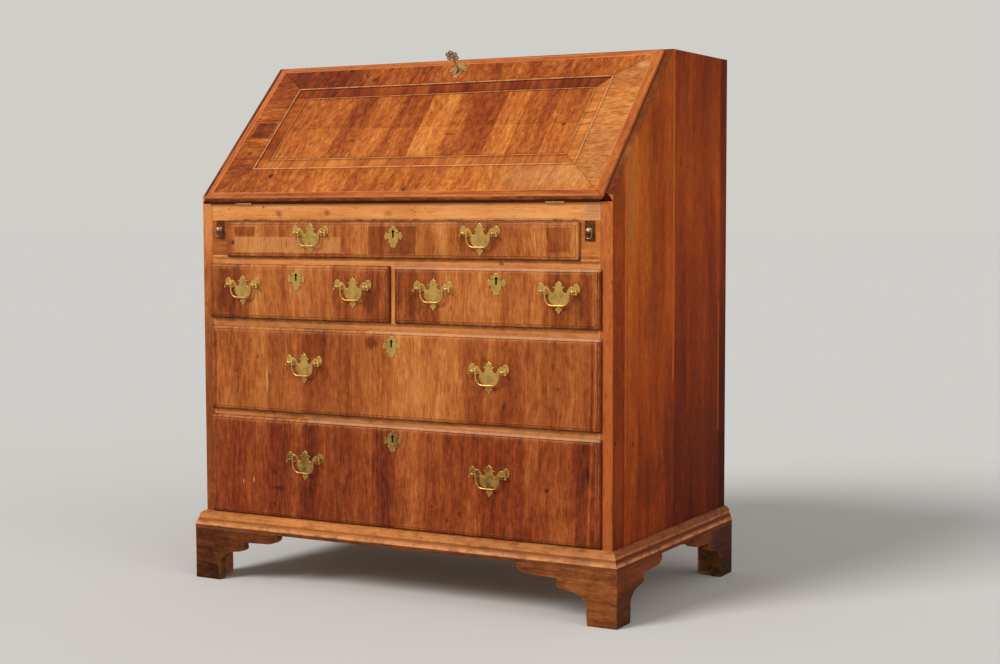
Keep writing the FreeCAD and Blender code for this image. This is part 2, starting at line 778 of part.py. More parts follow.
def ring_pull(x, y, z):
    """A ring with a straight top that turns in the knob."""
    half = knob_head_radius + ring_play + ring_bend
    c = ring_bend
    bow = c * (1 - math.sqrt(0.5))
    low = -c - ring_leg

    def place(a, b):
        return V(x + a, y, z + b)

    steps = [(half - c, 0), (half - bow, -bow, half, -c), (half, low), (0, low - half, -half, low),
             (-half, -c), (bow - half, -bow, c - half, 0), (0, 0)]
    return tube(path_edges((0, 0), steps, place), ring_wire, place(0, 0), V(1, 0, 0))


def handle_plate():
    """The wing-shaped back plate with its post holes; its top tip is the origin."""
    face = symmetric_face(plate_shares, plate_width / 2, plate_height)
    plate = face.extrude(V(0, -plate_thickness, 0))
    for side in (-1, 1):
        plate = plate.cut(rod(side * post_spacing / 2, overrun, -post_drop, V(0, -1, 0),
                              shank_radius, plate_thickness + 2 * overrun))
    return plate


def handle_post(side):
    """A post: shank through the drawer front, neck and a bored head."""
    x = side * post_spacing / 2
    shank = rod(x, -plate_thickness, -post_drop, V(0, 1, 0), shank_radius,
                plate_thickness + lip_proud + front_block + nut_thickness)
    neck = rod(x, -plate_thickness, -post_drop, V(0, -1, 0), post_neck_radius, post_reach)
    foot = Part.makeCone(post_head_radius, post_neck_radius, post_neck_radius,
                         V(x, -plate_thickness, -post_drop), V(0, -1, 0))
    head = Part.makeSphere(post_head_radius, V(x, -plate_thickness - post_reach, -post_drop))
    post = shank.fuse([neck, foot, head])
    bore = rod(x - post_head_radius - overrun, -plate_thickness - post_reach, -post_drop,
               V(1, 0, 0), bail_wire + pin_play, 2 * (post_head_radius + overrun))
    return post.cut(bore).removeSplitter()


def handle_nut(side):
    """The square nut that draws a post tight behind the drawer front."""
    x = side * post_spacing / 2
    y = lip_proud + front_block
    nut = box(x - nut_size / 2, x + nut_size / 2, y, y + nut_thickness,
              -post_drop - nut_size / 2, -post_drop + nut_size / 2)
    return nut.cut(rod(x, y - overrun, -post_drop, V(0, 1, 0), shank_radius,
                       nut_thickness + 2 * overrun))


def handle_bail():
    """A swinging bail: a drooping bar, pins through the posts and hanging tips."""
    y = -plate_thickness - post_reach
    half = post_spacing / 2 - bail_inset
    c = bail_bend
    pin = post_spacing / 2 + post_head_radius + bail_wire / 2
    bow = c * (1 - math.sqrt(0.5))
    sweep = bail_corner * (1 - math.sqrt(0.5))

    def place(a, b):
        return V(a, y, b - post_drop)

    right = [(half - bail_corner, -bail_drop),
             (half - sweep, -bail_drop + sweep, half, -bail_drop + bail_corner),
             (half, -c), (half + bow, -bow, half + c, 0), (pin, 0),
             (pin + c - bow, -bow, pin + c, -c), (pin + c, -c - bail_tail)]
    left = [tuple(-v if k % 2 == 0 else v for k, v in enumerate(step)) for step in right]
    start = place(0, -bail_drop)
    arms = [tube(path_edges((0, -bail_drop), steps, place), bail_wire, start, V(1, 0, 0))
            for steps in (right, left)]
    tips = [Part.makeSphere(bail_tip_radius, place(side * (pin + c), -c - bail_tail))
            for side in (-1, 1)]
    return arms[0].fuse([arms[1]] + tips).removeSplitter()


def drawer(name, x0, x1, z0, z1, tip_drop, handle_shares, lock_share, lock_drop, top_lip):
    """One main drawer in its opening, with its brasses and bails."""
    handles = [share * inner_half for share in handle_shares]
    lock_x = lock_share * inner_half
    lip_x0 = x0 - lip_overlap_x
    lip_x1 = x1 + lip_overlap_x
    lip_z0 = z0 - lip_overlap_z
    lip_z1 = z1 + top_lip
    face_y = y_front - lip_proud
    lip_back = y_front - seat_gap
    lip = box(lip_x0, lip_x1, face_y + field_rise, lip_back, lip_z0, lip_z1)
    rims = [edge for edge in lip.Edges
            if abs(edge.BoundBox.YMin - face_y - field_rise) < seat_gap
            and abs(edge.BoundBox.YMax - face_y - field_rise) < seat_gap]
    depth = lip_back - face_y - field_rise
    lip = lip.makeFillet(min(lip_rounding, depth * lip_rounding_share), rims)
    field = box(lip_x0 + field_inset, lip_x1 - field_inset, face_y, face_y + field_rise,
                lip_z0 + field_inset, lip_z1 - field_inset)
    block_y = y_front + front_block
    bx0 = x0 + drawer_play
    bx1 = x1 - drawer_play
    bz0 = z0 + seat_gap
    bz1 = z1 - drawer_play
    block = box(bx0, bx1, lip_back, block_y, bz0, bz1)
    front = lip.fuse([field, block]).removeSplitter()

    plate = handle_plate()
    posts = [handle_post(side) for side in (-1, 1)]
    nuts = [handle_nut(side) for side in (-1, 1)]
    brasses = []
    tip_z = lip_z1 - tip_drop
    for k, x in enumerate(handles):
        placed = [moved(piece, x, face_y, tip_z) for piece in [plate] + posts + nuts]
        brasses += placed
        for post in placed[1:3]:
            front = front.cut(post)
        bail = moved(handle_bail(), x, face_y, tip_z)
        nodes[name + ("_left_bail" if k == 0 else "_right_bail")] = bail

    badge_top = lip_z1 - lock_drop
    eye_z = badge_top - eye_drop
    badge = symmetric_face(escutcheon_shares, escutcheon_width / 2, escutcheon_height)
    badge = moved(badge.extrude(V(0, -escutcheon_thickness, 0)), lock_x, face_y, badge_top)
    badge = badge.cut(keyhole(lock_x, eye_z, face_y - overrun, block_y))
    lock_top = bz1
    lock = box(lock_x - lock_width / 2, lock_x + lock_width / 2, block_y - lock_depth, block_y,
               lock_top - lock_height, lock_top)
    keyway = keyhole(lock_x, eye_z, face_y - overrun, block_y - lock_depth + lock_keyway)
    front = front.cut(lock).cut(keyway)
    brasses += [badge, lock.cut(keyway)]

    box_back = y_inner_back - drawer_tail
    t = drawer_side
    left = box(bx0, bx0 + t, block_y, box_back, bz0, bz1)
    right = box(bx1 - t, bx1, block_y, box_back, bz0, bz1)
    back = box(bx0 + t, bx1 - t, box_back - t, box_back, bz0 + bottom_rise + drawer_bottom, bz1)
    bottom = box(bx0 + t, bx1 - t, block_y, box_back, bz0 + bottom_rise,
                 bz0 + bottom_rise + drawer_bottom)
    nodes[name + "_front"] = front
    nodes[name + "_box"] = [left, right, back, bottom]
    nodes[name + "_brasses"] = brasses


def main_drawers():
    """The five drawers, from the top down."""
    left_edge = divider_x - divider_thickness / 2
    right_edge = divider_x + divider_thickness / 2
    drawer("first_drawer", -housing_inner, housing_inner, z_first, z_rail_under, first_tip,
           first_handle_shares, first_lock_share, first_lock_tip, -lip_shy)
    drawer("second_left_drawer", -inner_half, left_edge, z_second, z_second_top, second_tip,
           second_left_handle_shares, second_left_lock_share, second_lock_tip, lip_overlap_z)
    drawer("second_right_drawer", right_edge, inner_half, z_second, z_second_top, second_tip,
           second_right_handle_shares, second_right_lock_share, second_lock_tip, lip_overlap_z)
    drawer("third_drawer", -inner_half, inner_half, z_third, z_third_top, third_tip,
           long_handle_shares, third_lock_share, third_lock_tip, lip_overlap_z)
    drawer("fourth_drawer", -inner_half, inner_half, z_fourth, z_fourth_top, fourth_tip,
           long_handle_shares, fourth_lock_share, fourth_lock_tip, lip_overlap_z)


y_gallery = y_top + gallery_step
gallery_top = case_height - top_thickness
shelf_z = writing_height + small_drawer_height
centre_half = centre_share * inner_half
wing_inner = centre_half + pillar_thickness
wing_middle = (wing_inner + inner_half) / 2
valance_height = valance_share * (gallery_top - shelf_z - gallery_board)
valance_land = valance_land_share * valance_height


def valance(x0, x1):
    """An arched strip across the top of a pigeonhole."""
    width = x1 - x0
    land = valance_land
    top = gallery_top
    low = top - valance_height

    def place(a, b):
        return V(x0 + a * width, y_gallery, low + b * (valance_height - land))

    rising = [(land / width, 0)] + valance_shares
    falling = [(1 - land / width, 0)] + [(1 - a, b, 1 - c, d) for a, b, c, d in valance_shares]
    edges = path_edges((0, 0), rising, place) + path_edges((1, 0), falling, place)
    corners = [V(x0, y_gallery, low), V(x0, y_gallery, top), V(x1, y_gallery, top),
               V(x1, y_gallery, low)]
    for a, b in zip(corners, corners[1:]):
        edges.append(Part.LineSegment(a, b).toShape())
    face = Part.Face(Part.Wire(Part.__sortEdges__(edges)))
    return face.extrude(V(0, valance_thickness, 0))


def gallery():
    """Pigeonholes over small drawers, either side of an open middle bay."""
    t = gallery_board
    pieces = []
    bays = [(-centre_half, centre_half)]
    for side in (-1, 1):
        def board(a, b, z0, z1, y0=y_gallery):
            xs = sorted((side * a, side * b))
            return box(xs[0], xs[1], y0, y_inner_back, z0, z1)

        pieces.append(board(centre_half, wing_inner, writing_height, gallery_top))
        pieces.append(board(wing_inner, inner_half, shelf_z, shelf_z + t))
        pieces.append(board(wing_middle - t / 2, wing_middle + t / 2, writing_height, shelf_z))
        bay = (inner_half - wing_inner - 2 * t) / 3
        for k in range(3):
            a = wing_inner + k * (bay + t)
            if k:
                pieces.append(board(a - t, a, shelf_z + t, gallery_top))
            bays.append(tuple(sorted((side * a, side * (a + bay)))))
    for x0, x1 in bays:
        pieces.append(valance(x0, x1))
    nodes["gallery"] = pieces


def small_drawer(name, x0, x1):
    """A little drawer with a turned knob."""
    a = x0 + seat_gap
    b = x1 - seat_gap
    z0 = writing_height + seat_gap
    z1 = shelf_z - slide_gap
    y0 = y_gallery
    y1 = y0 + small_drawer_front
    end = y_inner_back - small_drawer_tail
    t = small_drawer_side
    x = (x0 + x1) / 2
    z = (z0 + z1) / 2
    front = box(a, b, y0, y1, z0, z1)
    knob = rod(x, y1, z, V(0, -1, 0), small_knob_radius / 2,
               small_drawer_front + small_knob_reach - small_knob_radius)
    knob = knob.fuse(Part.makeSphere(small_knob_radius,
                                     V(x, y0 - small_knob_reach + small_knob_radius, z)))
    front = front.cut(knob)
    pieces = [front, knob.removeSplitter(), box(a, a + t, y1, end, z0, z1),
              box(b - t, b, y1, end, z0, z1), box(a + t, b - t, end - t, end, z0, z1),
              box(a + t, b - t, y1, end - t, z0, z0 + t)]
    nodes[name] = pieces


def small_drawers():
    """Four little drawers under the pigeonholes."""
    t = gallery_board
    spans = [("left_outer", -inner_half, -wing_middle - t / 2),
             ("left_inner", -wing_middle + t / 2, -wing_inner),
             ("right_inner", wing_inner, wing_middle - t / 2),
             ("right_outer", wing_middle + t / 2, inner_half)]
    for name, x0, x1 in spans:
        small_drawer(name + "_small_drawer", x0, x1)


def build():
    """Make every piece of the desk."""
    sides_of_case()
    nails = boards_of_case()
    pegs = rails_of_case()
    nodes["case_fixings"] = nails + pegs
    nodes["case_hinge_leaves"] = [piece for leaf_x in leaf_places for piece in fixed_leaf(leaf_x)]
    loper_housings()
    base_moulding()
    feet()
    fall()
    lopers()
    main_drawers()
    gallery()
    small_drawers()


build()
for node, shape in nodes.items():
    if isinstance(shape, list):
        shape = Part.makeCompound(shape)
    shape.exportStep("parts/" + node + ".step")
    solids = len(shape.Solids)
    print(node, "solids", solids, "valid", shape.isValid(), "volume", round(shape.Volume))
print(len(nodes), "nodes, slope", round(slope_degrees, 3), "degrees")
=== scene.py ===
# %% [markdown]
# # A slant-front desk
# The desk was drawn first as solids, and each solid of it is loaded here as a fixed frame.
# This notebook gives the frame its looks: worn walnut, pale rails, old brass and iron.
# A shape is either kept from the frame, and its edges eased, or worked out anew with numpy.
# Everything is in metres: X to the right, Y to the back, Z up, with the floor at zero.

# %% Load the frame
import math

import bpy
import numpy as np
from mathutils import Matrix, Vector


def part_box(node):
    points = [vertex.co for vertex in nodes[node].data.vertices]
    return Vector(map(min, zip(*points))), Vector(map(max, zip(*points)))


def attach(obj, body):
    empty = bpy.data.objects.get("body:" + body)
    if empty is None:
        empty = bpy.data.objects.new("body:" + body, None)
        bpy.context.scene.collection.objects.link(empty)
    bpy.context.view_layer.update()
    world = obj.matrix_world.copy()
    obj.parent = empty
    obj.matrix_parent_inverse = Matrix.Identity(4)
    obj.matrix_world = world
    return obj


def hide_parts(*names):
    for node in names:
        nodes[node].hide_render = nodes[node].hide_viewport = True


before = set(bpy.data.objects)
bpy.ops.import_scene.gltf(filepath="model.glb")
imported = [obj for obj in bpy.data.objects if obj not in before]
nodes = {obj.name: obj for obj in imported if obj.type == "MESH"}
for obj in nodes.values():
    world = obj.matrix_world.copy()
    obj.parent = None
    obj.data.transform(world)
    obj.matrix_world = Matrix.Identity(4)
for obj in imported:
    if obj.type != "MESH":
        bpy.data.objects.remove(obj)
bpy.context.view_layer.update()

# %% [markdown]
# ## The camera
# The desk is seen from its right front corner, a little above the drawers. A camera can be
# aimed with an empty, with Euler angles or with three axes. Three axes are used here,
# because they were measured: the direction of view, then right and up, turned by a small roll.

# %% Camera
scene = bpy.context.scene
camera_place = (1.7413, -3.00205, 0.74205)
sensor_width, focal_length = 36, 61.43
pitch, yaw, roll = (math.radians(angle) for angle in (-3.99, 28.90, -0.146))
level = Vector((-math.sin(yaw), math.cos(yaw), 0))
across = Vector((math.cos(yaw), math.sin(yaw), 0))
upright = Vector((0, 0, 1))
forward = level * math.cos(pitch) + upright * math.sin(pitch)
lifted = upright * math.cos(pitch) - level * math.sin(pitch)
right = across * math.cos(roll) + lifted * math.sin(roll)
top = lifted * math.cos(roll) - across * math.sin(roll)

lens = bpy.data.cameras.new("studio_camera")
lens.sensor_width = sensor_width
lens.lens = focal_length
camera = bpy.data.objects.new("studio_camera", lens)
scene.collection.objects.link(camera)
turn = Matrix((right, top, -forward)).transposed().to_4x4()
camera.matrix_world = Matrix.Translation(camera_place) @ turn
scene.camera = camera
print("camera looks along", tuple(round(value, 3) for value in forward))

# %% [markdown]
# ## A short hand for node trees
# A material can be clicked together in the Shader Editor or written as code. Written, it is
# a sum of small steps, so one helper adds a node, fills or links its sockets and returns it.

# %% Node helpers
def add(tree, kind, *values, **settings):
    """Adds a node; a value that is a node or a socket is linked, and another is set."""
    node = tree.nodes.new("ShaderNode" + kind)
    for name, setting in settings.items():
        setattr(node, name, setting)
    for number, value in enumerate(values):
        put(tree, node, number, value)
    return node


def put(tree, node, socket, value):
    """Links or sets one socket of a node, found by its name or its number."""
    if value is None:
        return
    if isinstance(value, bpy.types.Node):
        value = value.outputs[0]
    if isinstance(value, bpy.types.NodeSocket):
        tree.links.new(value, node.inputs[socket])
    else:
        node.inputs[socket].default_value = value


def calc(tree, operation, a, b=None, c=None):
    """One step of arithmetic on numbers."""
    return add(tree, "Math", a, b, c, operation=operation)


def noise(tree, vector, detail=2.0, roughness=0.5, scale=1.0):
    """Cloudy values about one half, with the scale in turns for each metre."""
    node = add(tree, "TexNoise")
    put(tree, node, "Vector", vector)
    put(tree, node, "Scale", scale)
    put(tree, node, "Detail", detail)
    put(tree, node, "Roughness", roughness)
    return node


def smooth(tree, value, low, high, start=0.0, end=1.0):
    """Eases from start to end while the value goes from low to high."""
    return add(tree, "MapRange", value, low, high, start, end, interpolation_type="SMOOTHSTEP")


def coordinate(tree, vector, letter):
    """One of the three numbers of a vector."""
    return add(tree, "SeparateXYZ", vector).outputs["XYZ".index(letter.upper())]


def ramp(tree, value, stops):
    """Colours along a value."""
    node = add(tree, "ValToRGB", value)
    band = node.color_ramp
    while len(band.elements) < len(stops):
        band.elements.new(0.5)
    for element, (place, colour) in zip(band.elements, stops):
        element.position = place
        element.color = colour
    return node


def blend(tree, share, a, b, kind="MIX"):
    """Mixes two colours."""
    node = tree.nodes.new("ShaderNodeMix")
    node.data_type = "RGBA"
    node.blend_type = kind
    put(tree, node, 0, share)
    put(tree, node, 6, a)
    put(tree, node, 7, b)
    return node.outputs[2]


def bumped(tree, shader, height, strength, distance):
    """Tilts the surface by a height that is only painted."""
    bump = add(tree, "Bump")
    put(tree, bump, "Strength", strength)
    put(tree, bump, "Distance", distance)
    put(tree, bump, "Height", height)
    put(tree, shader, "Normal", bump)


def new_material(name):
    """A material with its node tree, its shader and the place on the object that it reads."""
    material = bpy.data.materials.new(name)
    material.use_nodes = True
    tree = material.node_tree
    return material, tree, tree.nodes["Principled BSDF"], add(tree, "TexCoord").outputs["Object"]


def tint(red, green, blue):
    """A colour named by its three screen values from 0 to 255, as light amounts."""
    screen = np.array([red, green, blue]) / 255
    light = np.where(screen <= 0.04045, screen / 12.92, ((screen + 0.055) / 1.055) ** 2.4)
    return (*light.tolist(), 1)


print("mid grey is", round(tint(128, 128, 128)[0], 3), "of white light")

# %% [markdown]
# ## Light
# A studio lights old furniture with large soft boxes far away, so that the light is even.
# A sun lamp with a wide angle does the same, and doesn't fade over the floor. The main one
# stands to the left in front and rather low, and a weak one fills the side. The world gives a
# weak pale grey light, and rays that see or mirror it directly find a plain backdrop. The sum
# of all light on the front is about one, so a colour renders nearly as it is written.

# %% Lamps and world
scene.view_settings.view_transform = "Standard"
world_light, world_strength = tint(238, 237, 235), 0.40
backdrop_grey = tint(208, 206, 201)


def soft_sun(name, towards, width, strength):
    """An even light from a direction, spread over a width in degrees."""
    data = bpy.data.lights.new(name, "SUN")
    data.angle = math.radians(width)
    data.energy = strength
    lamp = bpy.data.objects.new(name, data)
    lamp.rotation_euler = Vector(towards).to_track_quat("Z", "Y").to_euler()
    scene.collection.objects.link(lamp)
    print(name, "has strength", strength)


soft_sun("key_light", (-0.50, -1.0, 0.85), 24, 2.25)
soft_sun("fill_light", (1.0, -0.5, 0.5), 60, 0.80)

world = bpy.data.worlds.new("studio")
world.use_nodes = True
scene.world = world
sky = world.node_tree
glow = sky.nodes["Background"]
put(sky, glow, "Color", world_light)
put(sky, glow, "Strength", world_strength)
backdrop = add(sky, "Background", backdrop_grey)
rays = add(sky, "LightPath").outputs
direct = rays["Is Camera Ray"]
for kind in ("Is Glossy Ray", "Is Transmission Ray"):
    direct = calc(sky, "MAXIMUM", direct, rays[kind])
put(sky, sky.nodes["World Output"], 0, add(sky, "MixShader", direct, glow, backdrop))

# %% [markdown]
# ## Planes of the desk
# Finishes and new pieces need a few planes: the front and the back of the case, and the slope
# on which the closed lid lies. The case is read from the frame's box of a side board. The
# lid's slope runs from the nose of the sides up to the top board, and all of the lid is worked
# out in a frame of its own: X across, Y up the slope and Z outwards, from the writing height.

# %% Sizes of the case
case_width, case_depth, case_height = 0.914, 0.545, 1.051
writing_height, nose_rise, flat_top_depth = 0.762, 0.014, 0.276
lip_proud, hinge_proud, side_thickness = 0.008, 0.003, 0.024
case_low, case_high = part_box("right_side")
case_front, case_back = case_low.y, case_high.y
half_width = case_width / 2
inner_half = half_width - side_thickness
hinge_y = case_front - hinge_proud
slope = math.atan2(case_height - writing_height - nose_rise, case_depth - flat_top_depth)
fall_place = ((0, hinge_y, writing_height), (slope, 0, 0))
print("lid slopes by", round(math.degrees(slope), 2), "degrees")

# %% [markdown]
# ## Wood
# Walnut has long fibres, short dark pores, broad stripes from its growth rings and, after
# two hundred years, a patina of wax. It could be painted by hand on an image, but a pattern
# worked out from the position needs no image and has grain inside the wood too. Noise is
# stretched along the grain at several sizes, and their sum is a tone, which picks a colour
# from a light and from a deep palette.

# %% Tone of a wood
def grained(tree, vector, grain, fine, coarse):
    """Stretches the space so that noise is long along the grain and narrow across it."""
    turns = [coarse if letter == grain else fine for letter in "xyz"]
    return add(tree, "VectorMath", vector, turns, operation="MULTIPLY")


def figure(tree, place, grain, short, weights, lift):
    """The tone of a wood, and three of the patterns it is summed from.

    The tone is one half and a lift, and for each pattern its weight times what it has over
    one half. Growth lines are a sine of slow noise, with the last of the weights.
    """
    mottling = short ** 0.5
    broad = noise(tree, grained(tree, place, grain, 15, 1.3 * short), 3.0)
    medium = noise(tree, grained(tree, place, grain, 62, 3.5 * short), 3.0, 0.6)
    fine = noise(tree, grained(tree, place, grain, 300, 16.0 * short), 3.0, 0.65)
    mottle = noise(tree, grained(tree, place, grain, 60 * mottling, 36 * mottling), 5.0, 0.72)
    growth = noise(tree, grained(tree, place, grain, 7, 0.8), 0.0)
    growth = calc(tree, "SINE", calc(tree, "MULTIPLY", growth, 110.0))
    tone = calc(tree, "MULTIPLY_ADD", growth, 0.5 * weights[4], 0.5 + lift)
    for pattern, weight in zip((broad, medium, fine, mottle), weights):
        step = calc(tree, "SUBTRACT", pattern, 0.5)
        tone = calc(tree, "MULTIPLY_ADD", step, weight, tone)
    return tone, broad, fine, mottle


# %% [markdown]
# ## Strips, faces and patches
# Veneer is laid in strips, so bands along an axis set how light and how red each strip is.
# Some faces show end grain or another board, so they take a palette of their own. Round
# patches are knots and stains, square ones are let-in pieces.

# %% Strips, faces and patches of a wood
def banded(tree, spot, drift, bands, tone, redness):
    """Adds the lift and the redness of strips; joints are straight for a capital axis.

    A band is an axis, its start and end, and steps of (share, lift, redness).
    """
    for axis, start, end, steps in bands:
        line = coordinate(tree, spot if axis in "XYZ" else drift, axis)
        line = add(tree, "MapRange", line, start, end, 0.0, 1.0)
        line = ramp(tree, line, [(share, (0.5 + rise, 0.5 + more, 0, 1))
                                 for share, rise, more in steps])
        parts = add(tree, "SeparateColor", line).outputs
        tone = calc(tree, "ADD", tone, calc(tree, "SUBTRACT", parts[0], 0.5))
        redness = calc(tree, "ADD", redness, calc(tree, "SUBTRACT", parts[1], 0.5))
    return tone, redness


def faced(tree, spot, facings, tone, colour):
    """Gives some faces of a piece other palettes.

    A facing is a frame or none, an axis of it, where the face begins and where it is full,
    and the palette.
    """
    for origin, axis, start, end, other in facings:
        place = spot
        if origin:
            place = add(tree, "Mapping", spot, *origin, vector_type="TEXTURE")
        share = smooth(tree, coordinate(tree, place, axis), start, end)
        colour = blend(tree, share, colour, ramp(tree, tone, other))
    return colour


def nearness(tree, spot, centre, radii, shape, ragged):
    """One inside a round or square patch and zero outside, with an edge that noise frays."""
    away = add(tree, "VectorMath", spot, centre, operation="SUBTRACT")
    away = add(tree, "VectorMath", away, radii, operation="DIVIDE")
    if shape == "round":
        away = add(tree, "VectorMath", away, operation="LENGTH").outputs["Value"]
        away = calc(tree, "MULTIPLY_ADD", ragged, 1.3, away)
        return smooth(tree, away, 0.35, 1.15, 1.0, 0.0)
    away = add(tree, "VectorMath", away, operation="ABSOLUTE")
    sides = add(tree, "SeparateXYZ", away).outputs
    away = calc(tree, "MAXIMUM", calc(tree, "MAXIMUM", sides[0], sides[1]), sides[2])
    away = calc(tree, "MULTIPLY_ADD", ragged, 0.12, away)
    return smooth(tree, away, 0.97, 1.03, 1.0, 0.0)


def patched(tree, spot, mottle, patches, colour):
    """Lays patches over a colour.

    A patch is a centre, radii, a colour, an amount and a shape: round, shade or inlay. A
    shade darkens by its colour, and the others cover with it.
    """
    ragged = calc(tree, "SUBTRACT", mottle, 0.5)
    for centre, radii, shade, amount, shape in patches:
        share = nearness(tree, spot, centre, radii, shape, ragged)
        share = calc(tree, "MULTIPLY", share, amount)
        colour = blend(tree, share, colour, shade, "MULTIPLY" if shape == "shade" else "MIX")
    return colour


# %% [markdown]
# ## The finished wood
# Hands rub old edges bright and dirt settles in corners. Where that happens is a matter of
# shape, so each new piece carries an attribute for it, and the material only has to read it.
# The same attribute also paints light: highlights on edges and beads that catch the lamp,
# and shade under lips, in hollows and in recesses. Pores and flecks are laid over the colour
# first. Wear and painted light come after them, because a rubbed, dirty or shaded edge hides them.

# %% Wood material
# The light colour is for rubbed edges and painted highlights, the dark one for dirt and painted
# shade.
bright_edge, grime_and_shade = tint(222, 152, 92), tint(44, 18, 7)


def wear_grime_and_light(tree, mottle, colour):
    """Brightens above zero for rubbing and painted highlight, darkens below for dirt and painted
    shade.
    """
    rub_and_light = add(tree, "Attribute", attribute_name="wear_and_light").outputs["Fac"]
    rub_and_light = calc(tree, "MULTIPLY", rub_and_light, smooth(tree, mottle, 0.38, 0.58, 0.35, 1.0))
    bright = calc(tree, "MINIMUM", calc(tree, "MAXIMUM", rub_and_light, 0.0), 0.85)
    colour = blend(tree, bright, colour, bright_edge)
    grime = calc(tree, "MINIMUM", calc(tree, "MULTIPLY", rub_and_light, -0.9), 0.9)
    return blend(tree, calc(tree, "MAXIMUM", grime, 0.0), colour, grime_and_shade)


def wood(name, grain, light, deep=None, bands=(), patches=(), facings=(), red=0.3, lift=0.0,
         weights=(0.5, 0.28, 0.40, 0.26, 0.1), pores=0.55, specks=0.5, place=None,
         gloss=(0.36, 0.54), short=1.0, shine=0.09):
    """A polished wood, with its grain along one axis of the desk or of a place's frame.

    weights are for stripes, streaks, fibres, mottling and growth lines. red is the share of
    the deep palette, and lift makes the wood lighter. short makes the figure shorter along
    the grain, and gloss is the least and the greatest roughness.
    """
    material, tree, shader, spot = new_material(name)
    if place:
        spot = add(tree, "Mapping", spot, *place, vector_type="TEXTURE").outputs[0]
    drift = noise(tree, spot, 1.0, 0.5, 3.0).outputs["Color"]
    drift = add(tree, "VectorMath", drift, (0.5, 0.5, 0.5), operation="SUBTRACT")
    drift = add(tree, "VectorMath", drift, (0.03, 0.03, 0.03), spot, operation="MULTIPLY_ADD")
    tone, broad, fine, mottle = figure(tree, drift, grain, short, weights, lift)
    redness = calc(tree, "MULTIPLY_ADD", calc(tree, "SUBTRACT", broad, 0.5), -1.6, red)
    tone, redness = banded(tree, spot, drift, bands, tone, redness)
    colour = ramp(tree, tone, light)
    if deep:
        colour = blend(tree, add(tree, "Clamp", redness), colour, ramp(tree, tone, deep))
    colour = faced(tree, spot, facings, tone, colour)
    colour = patched(tree, spot, mottle, patches, colour)
    dots = noise(tree, grained(tree, drift, grain, 520, 42), 2.0)
    dots = smooth(tree, dots, 0.58, 0.70, 0.0, pores)
    flecks = smooth(tree, noise(tree, spot, 2.0, 0.5, 240), 0.69, 0.76, 0.0, specks)
    dots = calc(tree, "MAXIMUM", dots, flecks)
    colour = blend(tree, dots, colour, (*(0.35 * part for part in light[0][1][:3]), 1))
    put(tree, shader, "Base Color", wear_grime_and_light(tree, mottle, colour))
    put(tree, shader, "Roughness", smooth(tree, mottle, 0.3, 0.7, *gloss))
    height = calc(tree, "MULTIPLY_ADD", dots, -0.5, calc(tree, "MULTIPLY", fine, 0.35))
    height = calc(tree, "MULTIPLY_ADD", broad, 1.6, height)
    height = calc(tree, "MULTIPLY_ADD", mottle, 0.7, height)
    bumped(tree, shader, height, 0.35, 0.0008)
    put(tree, shader, "Specular IOR Level", shine)
    put(tree, shader, "Coat Weight", 0.15 * shine)
    put(tree, shader, "Coat Roughness", 0.2)
    return material


# %% [markdown]
# ## Palettes
# A palette runs from the darkest fibre to the lightest one. The boards of the desk came from
# several parts of the tree and aged in more or less light, so there are several palettes,
# and most woods mix a lighter one with a redder one.

# %% Palettes
def palette(*colours):
    """Four colours from the darkest fibre to the lightest."""
    return [(share, tint(*colour)) for share, colour in zip((0.16, 0.42, 0.60, 0.86), colours)]


golden = palette((84, 36, 12), (154, 80, 32), (186, 108, 50), (218, 150, 84))
ruddy = palette((58, 20, 7), (118, 46, 17), (148, 66, 27), (188, 102, 50))
amber = palette((128, 64, 22), (194, 112, 48), (220, 140, 72), (240, 176, 108))
tawny = palette((98, 50, 20), (156, 92, 46), (182, 114, 62), (210, 148, 92))
side_gold = palette((92, 32, 6), (166, 70, 16), (194, 94, 26), (222, 132, 54))
side_red = palette((62, 18, 5), (122, 42, 12), (152, 60, 18), (190, 92, 36))
stile_tone = palette((116, 52, 20), (172, 92, 42), (200, 118, 58), (222, 148, 90))
umber = palette((46, 20, 8), (98, 50, 23), (130, 72, 34), (170, 106, 58))
lid_gold = palette((92, 38, 8), (162, 82, 26), (198, 112, 44), (228, 156, 80))
lid_red = palette((62, 20, 5), (128, 48, 13), (160, 70, 24), (200, 106, 46))
lip_tone = palette((112, 44, 14), (178, 86, 34), (208, 112, 52), (234, 158, 92))
foot_gold = palette((64, 26, 8), (122, 64, 26), (156, 92, 46), (196, 134, 82))
foot_tone = palette((70, 32, 12), (126, 68, 36), (156, 92, 54), (190, 130, 88))
straw = palette((112, 80, 52), (158, 122, 84), (178, 142, 102), (200, 168, 126))
# dusk and gloom darken edges that lie in shade: painted shade, on the side's slope partly.
dusk = palette((52, 22, 8), (94, 44, 20), (120, 62, 32), (156, 96, 58))
gloom = palette((36, 13, 5), (62, 24, 9), (80, 34, 14), (104, 50, 24))
rust = palette((26, 18, 14), (48, 36, 29), (62, 48, 40), (88, 70, 58))
knot, stain = tint(52, 20, 7), tint(88, 36, 12)
# The last is the pale top of the drawer fronts: rubbing and a painted highlight.
pale_scar, worn_lit_top = tint(206, 150, 92), tint(212, 168, 132)
print("the lightest walnut fibre is", [round(part, 2) for part in golden[-1][1][:3]])

# %% [markdown]
# ## Marks and strips by place
# Knots, scars, stains and let-in pieces could be painted on an image. Here each is a place
# and a size in metres instead, found on the desk, so it stays sharp at any distance and moves
# by a number. Strips are written the same way, from one joint to the next.

# %% Marks and strips
field_y = case_front - lip_proud
lid_face = 0.017
mark_depth = 0.05


def spot_at(x, z, width, height, shade=knot, amount=0.8):
    """A knot, stain or scar on the front, by its place and its half width and height."""
    return ((x, field_y, z), (width, mark_depth, height), shade, amount, "round")


